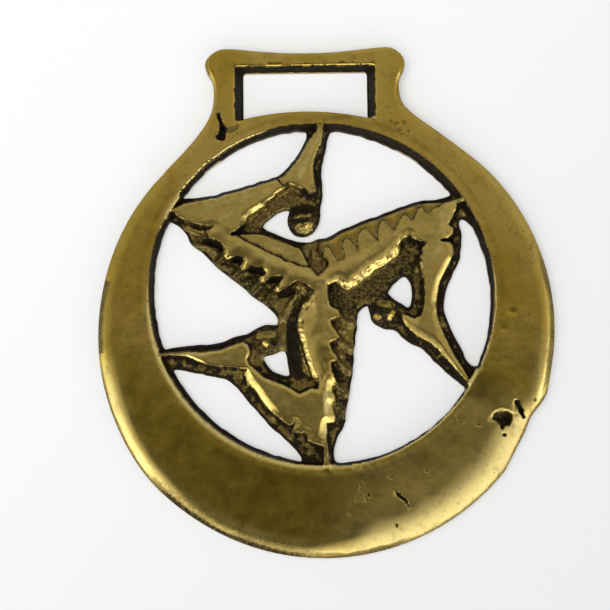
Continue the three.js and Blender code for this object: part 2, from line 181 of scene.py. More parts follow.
@dataclass
class Plan:
    """A raster over the brass as it is seen from above."""

    step: float = 0.1
    left: float = -38.6
    foot: float = -43.6
    columns: int = 773
    rows: int = 873

    def __post_init__(self) -> None:
        """Works out the places of the raster's columns and rows."""
        self.x = self.left + self.step * np.arange(self.columns)
        self.y = self.foot + self.step * np.arange(self.rows)
        self.shape = (self.rows, self.columns)
        self.xx, self.yy = np.meshgrid(self.x, self.y)

    def blur(self, values: np.ndarray, radius: float) -> np.ndarray:
        """Blurs a field with three box filters, which come near a bell curve.

        Args:
            values: The field.
            radius: The bell curve's spread in millimetres.

        Returns:
            The blurred field.
        """
        reach = max(1, round(radius / self.step))
        for _ in range(3):
            for axis in (0, 1):
                pad = [(0, 0), (0, 0)]
                pad[axis] = (reach + 1, reach)
                sums = np.cumsum(np.pad(values, pad, mode="edge"), axis=axis)
                size = values.shape[axis]
                high = np.take(sums, range(2 * reach + 1, 2 * reach + 1 + size), axis=axis)
                low = np.take(sums, range(size), axis=axis)
                values = (high - low) / (2 * reach + 1)
        return values

    def blur_within(self, values: np.ndarray, mask: np.ndarray, radius: float) -> np.ndarray:
        """Blurs a field from the cells of a mask alone.

        Args:
            values: The field.
            mask: The cells that count.
            radius: The spread in millimetres.

        Returns:
            The blurred field, also defined just outside the mask.
        """
        weight = self.blur(mask.astype(float), radius)
        return self.blur(np.where(mask, values, 0.0), radius) / np.maximum(weight, 1e-6)

    def grain(self, size: float, seed: int) -> np.ndarray:
        """Gives soft random lumps of about one size, with a mean of 0 and a spread of 1.

        Args:
            size: The lumps' size.
            seed: What the chance starts from.

        Returns:
            The field of lumps.
        """
        rough = np.random.default_rng(seed).standard_normal(self.shape)
        soft = self.blur(rough, size)
        return (soft - soft.mean()) / soft.std()

    def distance(self, mask: np.ndarray, reach: float) -> np.ndarray:
        """Measures how far each cell is from the nearest cell of a mask.

        Args:
            mask: The cells to measure from.
            reach: Distances beyond this are cut off.

        Returns:
            The distances in millimetres.
        """
        nowhere = 9999
        most = round(reach / self.step)
        index = np.arange(self.columns)[None, :]
        last = np.maximum.accumulate(np.where(mask, index, -nowhere), axis=1)
        following = np.minimum.accumulate(np.where(mask, index, nowhere)[:, ::-1], axis=1)[:, ::-1]
        along = np.minimum(np.minimum(index - last, following - index), most + 1).astype(float) ** 2
        square = along.copy()
        for k in range(1, most + 1):
            square[k:] = np.minimum(square[k:], along[:-k] + k * k)
            square[:-k] = np.minimum(square[:-k], along[k:] + k * k)
        return np.minimum(np.sqrt(square) * self.step, reach)

    def window(self, path: np.ndarray, margin: float) -> Window:
        """Finds the part of the raster round a path.

        Args:
            path: The path's points.
            margin: How far round the path the window reaches.

        Returns:
            The window's rows and columns.
        """
        low = path.min(axis=0) - margin
        high = path.max(axis=0) + margin
        first = np.clip(np.floor((low - (self.left, self.foot)) / self.step).astype(int), 0, None)
        last = np.ceil((high - (self.left, self.foot)) / self.step).astype(int) + 1
        return slice(first[1], min(last[1], self.rows)), slice(first[0], min(last[0], self.columns))

    def from_path(self, path: np.ndarray, margin: float) -> tuple[Window, np.ndarray, np.ndarray]:
        """Measures the cells round a path.

        Args:
            path: The path's points.
            margin: How far round the path cells are measured.

        Returns:
            The window of the raster, each cell's distance from the path, and how far along it is, 0 to 1.
        """
        where = self.window(path, margin)
        cells = np.stack([self.xx[where], self.yy[where]], axis=-1)
        best = np.full(cells.shape[:2], np.inf)
        along = np.zeros(cells.shape[:2])
        lengths = np.hypot(*(np.diff(path, axis=0).T))
        starts = np.concatenate([[0.0], np.cumsum(lengths)])
        for i in range(len(path) - 1):
            way = path[i + 1] - path[i]
            share = np.clip(((cells - path[i]) @ way) / max(way @ way, 1e-9), 0.0, 1.0)
            gap = np.linalg.norm(cells - path[i] - share[..., None] * way, axis=-1)
            nearer = gap < best
            best = np.where(nearer, gap, best)
            along = np.where(nearer, (starts[i] + share * lengths[i]) / starts[-1], along)
        return where, best, along

    def covered(self, outline: np.ndarray, where: Window = (slice(None), slice(None))) -> np.ndarray:
        """Marks the cells that lie inside an outline.

        Args:
            outline: The outline's corners.
            where: The part of the raster that is wanted.

        Returns:
            True for each cell inside.
        """
        cells = np.stack([self.xx[where].ravel(), self.yy[where].ravel()], axis=1)
        return enclosed(cells, [outline]).reshape(self.xx[where].shape)

    def cells(self, points: np.ndarray) -> tuple[np.ndarray, np.ndarray]:
        """Finds the cells nearest to points.

        Args:
            points: The points, a row each.

        Returns:
            The cells' rows and columns.
        """
        column = np.round((points[:, 0] - self.left) / self.step).astype(int).clip(0, self.columns - 1)
        row = np.round((points[:, 1] - self.foot) / self.step).astype(int).clip(0, self.rows - 1)
        return row, column

    def sample(self, values: np.ndarray, points: np.ndarray) -> np.ndarray:
        """Reads a field at points between its cells.

        Args:
            values: The field.
            points: The points, a row each.

        Returns:
            The field's value at each point.
        """
        column = np.clip((points[:, 0] - self.left) / self.step, 0, self.columns - 1.001)
        row = np.clip((points[:, 1] - self.foot) / self.step, 0, self.rows - 1.001)
        i, j = column.astype(int), row.astype(int)
        u, v = column - i, row - j
        low = values[j, i] * (1 - u) + values[j, i + 1] * u
        high = values[j + 1, i] * (1 - u) + values[j + 1, i + 1] * u
        return low * (1 - v) + high * v


@dataclass
class Solid:
    """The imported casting's own mesh, read as loose triangles."""

    node: str = "brass_casting"
    above: float = 9.0
    missed: float = -1.0

    def __post_init__(self) -> None:
        """Reads the triangles in millimetres and merges their corners."""
        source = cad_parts[self.node]
        mesh = source.data
        mesh.calc_loop_triangles()
        places = np.empty(len(mesh.vertices) * 3)
        mesh.vertices.foreach_get("co", places)
        corners = np.empty(len(mesh.loop_triangles) * 3, dtype=np.int32)
        mesh.loop_triangles.foreach_get("vertices", corners)
        turn = np.array(source.matrix_world)
        places = places.reshape(-1, 3) @ turn[:3, :3].T + turn[:3, 3]
        keys, inverse = np.unique(np.round(places / MILLIMETRE, 4), axis=0, return_inverse=True)
        self.places = keys
        self.triangles = inverse.reshape(-1)[corners].reshape(-1, 3)

    def heights(self, plan: Plan) -> np.ndarray:
        """Finds the height of the face over each cell.

        Args:
            plan: The raster.

        Returns:
            The heights, and the value for a miss where a ray meets nothing.
        """
        tree = BVHTree.FromPolygons(self.places.tolist(), self.triangles.tolist(), all_triangles=True)
        down = Vector((0.0, 0.0, -1.0))
        start = Vector((0.0, 0.0, self.above))
        found = np.full(plan.shape, self.missed)
        for j, y in enumerate(plan.y):
            start.y = y
            for i, x in enumerate(plan.x):
                start.x = x
                hit = tree.ray_cast(start, down)[0]
                if hit is not None:
                    found[j, i] = hit.z
        return found

    def outlines(self) -> list[np.ndarray]:
        """Chains the edges of the flat back into closed outlines.

        Returns:
            The outlines, with the metal on their left.
        """
        corners = self.places[self.triangles]
        flat = np.all(np.abs(corners[:, :, 2]) < 1e-3, axis=1)
        follows: dict[int, int] = {}
        pairs = set()
        for a, b, c in self.triangles[flat]:
            pairs.update(((a, b), (b, c), (c, a)))
        for a, b in pairs:
            if (b, a) not in pairs:
                follows[b] = a
        loops = []
        while follows:
            start, here = follows.popitem()
            loop = [start]
            while here != start:
                loop.append(here)
                here = follows.pop(here)
            loops.append(self.places[loop][:, :2])
        return loops


@dataclass
class Outlines:
    """The brass's outline and its windows, as the casting and its wear have left them."""

    plan: Plan
    pushes: tuple[Push, ...]
    spacing: float = 0.2
    fill_in: float = 0.1
    unevenness: float = 0.055
    least_outer_height: float = 60.0
    slot_foot: float = 28.5

    @staticmethod
    def spaced(loop: np.ndarray, spacing: float) -> np.ndarray:
        """Spaces points evenly along a closed path.

        Args:
            loop: The path's corners.
            spacing: The wanted gap.

        Returns:
            The spaced points.
        """
        closed = np.vstack([loop, loop[:1]])
        ends = np.concatenate([[0.0], np.cumsum(np.hypot(*np.diff(closed, axis=0).T))])
        at = np.arange(max(8, round(ends[-1] / spacing))) * spacing
        at *= ends[-1] / (at[-1] + spacing)
        return np.stack([np.interp(at, ends, closed[:, k]) for k in (0, 1)], axis=1)

    def is_outer(self, loop: np.ndarray) -> bool:
        """Tells the outer outline from a window."""
        return bool(np.ptp(loop[:, 1]) > self.least_outer_height)

    def worn(self, loop: np.ndarray, seed: int) -> np.ndarray:
        """Rounds a cast window's corners and narrows it a little and unevenly.

        Args:
            loop: The window's or the outer outline's corners.
            seed: What the unevenness starts from.

        Returns:
            The outline's points.
        """
        points = self.spaced(loop, self.spacing)
        slot = loop[:, 1].min() > self.slot_foot
        for push in self.pushes:
            share = np.exp(-np.sum((points - push.at) ** 2, axis=1) / push.reach**2)
            points = points + share[:, None] * push.shift
        if self.is_outer(loop):
            return points
        for _ in range(5 if slot else 16):
            points = (np.roll(points, 1, axis=0) + 2 * points + np.roll(points, -1, axis=0)) / 4
        wander = self.plan.sample(self.plan.grain(0.45, seed), points)
        amount = 0.0 if slot else self.fill_in + self.unevenness * np.clip(wander, -1.6, 2.2)
        narrowed = points + outward(points) * np.broadcast_to(amount, len(points))[:, None]
        return self.spaced(narrowed, self.spacing)

    def mask(self, loops: list[np.ndarray]) -> np.ndarray:
        """Marks the plan's cells that lie on the metal.

        Args:
            loops: The outlines.

        Returns:
            True for each cell on the metal.
        """
        starts = np.concatenate(loops)
        ends = np.concatenate([np.roll(loop, -1, axis=0) for loop in loops])
        metal = np.zeros(self.plan.shape, dtype=bool)
        for row, y in enumerate(self.plan.y):
            spans = (starts[:, 1] > y) != (ends[:, 1] > y)
            a, b = starts[spans], ends[spans]
            crossings = np.sort(a[:, 0] + (y - a[:, 1]) * (b[:, 0] - a[:, 0]) / (b[:, 1] - a[:, 1]))
            metal[row] = np.searchsorted(crossings, self.plan.x) % 2 == 1
        return metal


@dataclass
class Relief:
    """The brass's face as heights over a plan, with maps of what its surface is like.

    The maps are soot and shade, the dark dirt with painted shade along the legs' edges, on their upper
    edges and in some stains; skin, the rough casting skin; worn, the palest rubbing, which is in places a
    painted sheen; and glint, where a sloping wall is rubbed bare. Reaches are distances from the middle
    of the round opening.
    """

    plan: Plan
    opening: Point = (-0.6, 0.6)
    opening_radius: float = 28.3
    wall_reach: float = 28.8
    ring_reach: float = 29.9
    border_reach: float = 31.0
    outside_reach: float = 33.0
    plate_middle: float = -5.2
    face_floor: float = 2.2
    level: float = 2.88
    web: float = 1.3
    shelf_level: float = 2.62
    lowest: float = 0.02
    highest: float = 2.995
    border_tilt: float = 0.36
    bevel_drop: float = 1.1
    wall_slope: float = 0.65
    wall_foot: float = 0.34

    def carve(self, solid: Solid, metal: np.ndarray) -> None:
        """Makes the border's relief from the solid's heights.

        Args:
            solid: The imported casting.
            metal: The cells that lie on the metal.
        """
        plan = self.plan
        cast = solid.heights(plan)
        known = cast >= 0.0
        beside = plan.blur_within(np.maximum(cast, 0.0), known, 0.3)
        cast = np.maximum(np.where(known, cast, beside), 0.0)
        self.metal = metal
        self.from_edge = plan.distance(~metal, 4.0)
        self.reach = np.hypot(plan.xx - self.opening[0], plan.yy - self.opening[1])
        self.rim = plan.distance(~metal & (self.reach > self.outside_reach), 14.0)
        self.glint = np.zeros(plan.shape)
        self.loop = (plan.yy > 27.0) & (np.abs(plan.xx + 1.4) < 16.0)
        self.bevel_rim(self.lay_border(cast))
        self.cut_slot(cast)
        self.turn_ring()

    def lay_border(self, cast: np.ndarray) -> np.ndarray:
        """Lays the border's face, softened near the rim and carried on over the opening.

        Args:
            cast: The solid's heights.

        Returns:
            The face's level without its bevels.
        """
        plan = self.plan
        border = self.metal & (self.reach > self.ring_reach)
        flat = border & (cast > self.face_floor) & (self.rim > 2.2)
        level = plan.blur_within(cast, flat, 0.8)
        inner = self.metal & (self.reach < self.ring_reach)
        self.height = np.where(inner, np.minimum(level, 2.97), cast)
        soft = plan.blur_within(self.height, self.metal, 0.35)
        plain = ease(1.0, 3.0, self.rim) * ease(30.5, 31.5, self.reach)
        softened = (self.reach > self.border_reach) & ~self.loop & (plain < 1.0)
        self.height = np.where(softened, soft, self.height)
        return level

    def bevel_rim(self, level: np.ndarray) -> None:
        """Bevels the rim where it is worn, tilts the worn border, and finds the grime along the edge.

        Args:
            level: The face's level without its bevels.
        """
        plan, rim = self.plan, self.rim
        turn = np.degrees(np.arctan2(plan.yy - self.plate_middle, plan.xx))
        self.low_right = sector(turn, -103.0, -76.0, -30.0, -18.0)
        left_bevel = sector(turn, -180.0, -168.0, -142.0, -124.0) * (turn < 0.0)
        right_bevel = sector(turn, -100.0, -86.0, -30.0, -18.0)
        span = 2.6 + 0.8 * right_bevel
        drop = self.bevel_drop * np.clip(1.0 - rim / span, 0.0, 1.0) ** 1.6
        chamfer = plan.blur_within(level - drop, self.metal, 0.2)
        bevelled = (left_bevel + right_bevel) * (self.reach > self.border_reach)
        self.height += (chamfer - self.height) * bevelled
        self.height -= self.border_tilt * ease(3.0, 11.5, rim) * self.low_right
        near = ease(2.9 + 0.4 * plan.grain(0.8, 53), 1.0, rim)
        line = ease(1.2 + 0.2 * plan.grain(0.8, 54), 0.5, rim)
        foot = sector(turn, -150.0, -134.0, -102.0, -88.0)
        bottom = sector(turn, -110.0, -98.0, -78.0, -64.0)
        sides = sector(turn, -24.0, -14.0, 8.0, 24.0) + (turn > 165.0) + (turn < -176.0)
        sides = np.clip(sides, 0.0, 1.0)
        grime = near * (0.45 * foot + 0.2 * sides) + line * (0.35 * foot + 0.45 * sides)
        self.rim_grime = np.maximum(grime, 0.6 * line * bottom)

    def cut_slot(self, cast: np.ndarray) -> None:
        """Keeps the slot's drafted walls as they are cast, and finds where they are.

        Args:
            cast: The solid's heights.
        """
        plan = self.plan
        slot = self.loop & (plan.yy > 30.0) & (plan.yy < 40.6) & (np.abs(plan.xx + 1.5) < 13.2)
        self.height = np.where(slot, plan.blur_within(cast, self.metal, 0.12), self.height)
        into_slot = plan.distance(slot & self.metal & (cast < 2.8), 0.6)
        self.slot_wall = slot * ease(0.26, 0.1, into_slot + 0.05 * plan.grain(0.25, 32))

    def turn_ring(self) -> None:
        """Drafts the wall round the opening, and wears its lip below and at the upper left."""
        plan = self.plan
        past_ring = self.reach - self.opening_radius
        foot = plan.blur(self.from_edge, 0.2) - 0.62 + 0.05 * plan.grain(0.8, 31)
        past_ring = np.where(self.reach < self.wall_reach, np.minimum(past_ring, foot), past_ring)
        around = np.arctan2(plan.yy - self.opening[1], plan.xx - self.opening[0])
        lower = ease(0.35, -0.35, np.sin(around))
        upper_left = ease(math.radians(28), math.radians(18), np.abs(around - math.radians(131)))
        self.lip = np.maximum(lower, upper_left)
        depth = 0.25 * lower + 0.045 * upper_left
        lip = depth * np.clip(1.0 - past_ring / (0.24 + 0.75 * lower), 0.0, 1.0) ** 2
        wall = 2.2 * np.clip(-past_ring / 0.6, 0.0, 1.0)
        ring = self.reach < self.ring_reach
        self.border = np.where(ring, self.height - lip - wall, self.height)
        self.past_ring = np.where(ring, past_ring, 9.0)

    def into_faces(self, faces: tuple[tuple[Point, ...], ...]) -> np.ndarray:
        """Measures how far each cell lies inside the legs' flat faces.

        Args:
            faces: The faces' outlines.

        Returns:
            The distances from the faces' edges, negative outside and no less than -3.
        """
        plan, most = self.plan, 3.0
        inside = np.full(plan.shape, -most)
        for face in faces:
            path = np.array(face + face[:1])
            where, gap, _ = plan.from_path(path, most)
            signed = np.where(plan.covered(path[:-1], where), gap, -np.minimum(gap, most))
            inside[where] = np.maximum(inside[where], signed)
        return inside

    def lay_slopes(self, slopes: tuple[Slope, ...]) -> np.ndarray:
        """Marks the gently sloping walls and how bright they are.

        Args:
            slopes: The sloping stretches.

        Returns:
            The width of the slope beside each cell.
        """
        plan = self.plan
        width = np.zeros(plan.shape)
        for slope in slopes:
            where, gap, _ = plan.from_path(np.array(slope.path), slope.width + 1.5)
            share = ease(slope.width + 0.9, slope.width + 0.1, gap)
            width[where] = np.maximum(width[where], slope.width * share)
            glint = slope.glint * ease(slope.width * 1.1, slope.width * 0.8, gap)
            self.glint[where] = np.maximum(self.glint[where], glint)
        return plan.blur(width, 0.15)

    def round_edges(self, roundings: tuple[Rounding, ...]) -> tuple[np.ndarray, ...]:
        """Maps how the faces' edges are rounded.

        Args:
            roundings: The worn stretches.

        Returns:
            The rounding's radius, fall and power at each cell.
        """
        plan = self.plan
        fields = [np.full(plan.shape, value) for value in (0.22, 0.035, 1.6)]
        for edge in roundings:
            where, gap, _ = plan.from_path(np.array(edge.path), edge.reach + edge.radius + 0.5)
            share = ease(edge.reach + edge.radius, edge.radius, gap)
            for field, value in zip(fields, (edge.radius, edge.fall, edge.power)):
                field[where] += (value - field[where]) * share
        return tuple(plan.blur(field, 0.2) for field in fields)

    def set_figure(
        self,
        faces: tuple[tuple[Point, ...], ...],
        slopes: tuple[Slope, ...],
        roundings: tuple[Rounding, ...],
        shelf: tuple[Point, ...],
    ) -> None:
        """Builds the legs: their flat faces, worn edges, walls and low web.

        Args:
            faces: The outlines of the legs' flat faces.
            slopes: The gently sloping stretches of their walls.
            roundings: The worn stretches of their edges.
            shelf: The outline of the smooth step above the right leg's teeth.
        """
        plan = self.plan
        inside = self.into_faces(faces)
        width = self.lay_slopes(slopes)
        radius, fall, power = self.round_edges(roundings)
        inside = inside + 0.02 * plan.grain(0.3, 42)
        crown = self.level - fall * np.clip(1.0 - inside / radius, 0.0, 1.0) ** power
        foot = self.web + 0.06 * plan.grain(0.7, 43)
        eased = self.wall_slope * np.clip(-inside, 0.0, width)
        steep = np.clip((-inside - width) / self.wall_foot, 0.0, 1.0)
        wall = crown - eased - (crown - eased - foot) * steep
        figure = np.where(inside > 0.0, crown, wall)
        crumbs = 0.03 * plan.grain(0.15, 41) + 0.035 * plan.grain(0.3, 46)
        figure += crumbs * ease(0.0, 0.15, eased)
        smooth_edge = plan.blur(self.from_edge, 0.25)
        faces_up = np.clip(-np.gradient(smooth_edge, plan.step, axis=0), 0.0, 1.0)
        faces_up = plan.blur(faces_up, 0.2)
        edge = 0.35 + (4.2 - 1.8 * faces_up) * self.from_edge
        figure = np.minimum(figure, edge)
        on_shelf = plan.covered(np.array(shelf)) & (inside < 0.0)
        shelf_height = np.minimum(self.shelf_level - 0.35 * ease(1.3, 0.4, self.from_edge), edge)
        figure = np.where(on_shelf, np.maximum(figure, shelf_height), figure)
        self.inside = np.where(self.reach < 29.4, inside, 3.0)
        self.figure = (self.past_ring < 0.0) & self.metal
        raised = self.figure | (inside > 0.0)
        self.height = np.where(raised, np.maximum(figure, self.border), self.border)
        self.height = np.where(self.metal, self.height, 0.0)
        self.soil_figure(width, fall, inside)
        self.soil_shelf(on_shelf & (self.height > 2.0), inside)
        # Dark patina on the walls, spread wider over edges whose walls face up the plate: painted shade on
        # those upper edges.
        walls = 0.97 * ease(0.72 + 0.4 * faces_up, 0.35 + 0.35 * faces_up, smooth_edge)
        self.soot = np.where(self.figure, np.maximum(self.soot, walls), self.soot)

    def soil_figure(self, width: np.ndarray, fall: np.ndarray, inside: np.ndarray) -> None:
        """Lays soot on the web, soot with painted shade along the faces' edges, and rubs the faces pale,
        with a painted highlight on the gentle slopes.

        Args:
            width: The width of the slope beside each cell.
            fall: How far the nearest edge is worn down.
            inside: How far each cell lies inside the faces.
        """
        plan = self.plan
        patches = 0.1 * plan.grain(0.7, 44) + 0.14 * plan.grain(0.22, 45)
        deep = ease(0.9, 0.25, -self.inside) * ease(0.4, 0.2, width)
        # Painted shade with some dirt: the faces darken just inside their edges, which dulls the edges'
        # highlights.
        grime = ease(0.6, 0.0, inside + 0.05 * plan.grain(0.4, 47))
        grime = grime * (inside > 0.0) * (self.reach < 28.4)
        grime = 0.34 * grime * ease(0.5, 0.1, self.glint) * ease(0.5, 0.2, fall)
        # The web's dark reaches a little over the edges that are not worn: painted shade that keeps bright
        # lines off them.
        over_edge = 0.15 * ease(0.35, 0.0, self.glint) * ease(0.6, 0.4, fall)
        low = self.figure & (self.inside < over_edge)
        self.soot = np.where(low, np.clip(0.72 + patches, 0.3, 0.9) + 0.22 * deep, grime)
        self.skin = low.astype(float)
        # Painted highlight: the glinting slopes are painted pale; the faces themselves are rubbed pale.
        sloping = 0.5 * ease(0.1, 0.7, self.glint) * ease(0.2, -0.2, inside)
        self.worn = np.maximum(0.4 * ease(-0.3, 0.4, inside), sloping) * (self.reach < 28.6)

    def soil_shelf(self, shelf: np.ndarray, inside: np.ndarray) -> None:
        """Browns the smooth step where it meets the teeth.

        Args:
            shelf: The step's cells.
            inside: How far each cell lies inside the faces.
        """
        brown = 0.14 + 0.26 * ease(1.2, 0.3, -inside) + 0.25 * ease(0.35, 0.1, -inside)
        self.soot = np.where(shelf, brown, self.soot)
        self.skin = np.where(shelf, 0.1, self.skin)

    def strike(self, strokes: tuple[Stroke, ...]) -> None:
        """Cuts or raises the face along strokes, lets soot settle in the grooves, and lays stains, partly
        painted shade, and rubbed places, partly painted highlights.

        Args:
            strokes: The strokes, in the order they are struck.
        """
        plan = self.plan
        wander = plan.grain(0.3, 11)
        for stroke in strokes:
            where, gap, along = plan.from_path(np.array(stroke.path), stroke.width * 1.6 + 0.4)
            gap = gap + stroke.ragged * wander[where]
            share = np.clip(1.0 - gap / stroke.width, 0.0, 1.0)
            # Stains lay soot, which beside the legs' edges and teeth is painted shade.
            if stroke.kind is Cut.STAIN:
                change = (stroke.soot - self.soot[where]) * ease(0.0, 1.0, share)
                self.soot[where] += change * ease(-0.05, 0.1, self.inside[where])
                continue
            # Rubs paint the face pale, which on ribs, knees, feet and pit rims is a painted highlight.
            if stroke.kind is Cut.RUB:
                rubbed = stroke.depth * ease(0.0, 1.0, share)
                self.worn[where] = np.maximum(self.worn[where], rubbed)
                continue
            if stroke.kind is Cut.GROOVE:
                cut = ease(0.0, 0.8, share) * ease(0.0, 0.1, along) * ease(1.0, 0.9, along)
            elif stroke.kind is Cut.PIT:
                cut = ease(0.0, 0.7, share)
            else:
                cut = ease(0.0, 1.0, share)
            allowed = ease(0.12, -0.12, self.inside[where]) if stroke.kind is Cut.SWELL else 1.0
            self.height[where] -= stroke.depth * cut * allowed
            if stroke.soot >= 0.0:
                spread = np.clip(1.0 - gap / (stroke.width * 1.25 + 0.05), 0.0, 1.0)
                settled = ease(0.0, 0.35, spread) * allowed
                self.soot[where] += (stroke.soot - self.soot[where]) * settled

    def finish(self) -> None:
        """Gives the face its skin and ripple, settles the soot, and marks where the mesh must be fine."""
        self.roughen()
        self.wear_border()
        near_soot = self.plan.distance((self.soot > 0.3) & (self.reach > 29.0), 0.6) < 0.5
        near_edge = (self.reach < 29.2) | (self.from_edge < 0.9)
        self.detailed = self.metal & (near_edge | near_soot | (self.slot_wall > 0.0))

    def roughen(self) -> None:
        """Adds the casting's skin and the polisher's ripple, and darkens the walls."""
        plan = self.plan
        low = self.skin * ease(0.0, 0.3, -self.inside)
        crust = 0.045 * plan.grain(0.14, 5) + 0.05 * plan.grain(0.3, 6)
        ripple = 0.02 * plan.grain(3.2, 3) + 0.009 * plan.grain(1.0, 4) + 0.0028 * plan.grain(0.25, 7)
        self.height = self.height + ripple * (1 - low) + crust * low
        crumbly = np.clip(0.9 + 0.34 * plan.grain(0.12, 8) + 0.25 * plan.grain(0.4, 9), 0.05, 1.1)
        self.soot = np.clip(self.soot - self.glint * self.skin * crumbly, 0.0, 1.0)
        top = 0.2 - 0.34 * self.lip
        ring_wall = ease(0.06, -0.06, self.past_ring - top) * ease(-1.1, -0.7, self.past_ring)
        ring_wall = ring_wall * (self.inside < 0.05)
        self.soot = np.maximum(self.soot, 0.92 * ring_wall * (1 - self.glint))
        self.soot = np.maximum(self.soot, 0.95 * self.slot_wall)
        self.height = self.height - 0.08 * self.slot_wall * np.abs(plan.grain(0.25, 33))
        self.skin = np.maximum(self.skin, np.maximum(ring_wall, self.slot_wall))
        self.height = np.clip(self.height, self.lowest, self.highest)

    def wear_border(self) -> None:
        """Paints a sheen on the border's lower right and its lower rim, rubs the opening's lip pale with a
        painted sheen, and dirties the rim.
        """
        plan, rim = self.plan, self.rim
        # Painted sheen: the border's lower right is painted pale, most near its bevel, where it mirrors the
        # bright front.
        lower_right_sheen = self.low_right * (0.4 + 0.6 * ease(8.5 + 0.6 * plan.grain(1.2, 51), 1.5, rim))
        self.worn = np.maximum(self.worn, lower_right_sheen * (self.reach > 29.5))
        low_rim = ease(-4.0, -16.0, plan.yy) * (self.reach > self.border_reach)
        # Painted highlight: the lower rim's bevel is painted pale, so that its reflection turns pale.
        self.worn = np.maximum(self.worn, low_rim * 0.6 * ease(4.2, 1.5, rim))
        self.soot = np.maximum(self.soot, self.rim_grime)
        grimy = 0.75 * low_rim + 0.25 * low_rim * ease(16.0, 4.0, np.abs(plan.xx + 3.0))
        grimy = grimy * 0.55 * ease(0.8 + 0.15 * plan.grain(0.6, 52), 0.25, rim)
        self.soot = np.maximum(self.soot, grimy)
        # The opening's lip is rubbed pale, partly a painted sheen on the lower lip.
        lip = self.lip * ease(1.0, 0.4, self.past_ring) * (self.past_ring > 0.0)
        self.worn = np.maximum(self.worn, 0.95 * lip)


@dataclass(frozen=True)
class Sides:
    """What a map of the surface holds away from the face."""

    wall: float
    rim: float
    back: float


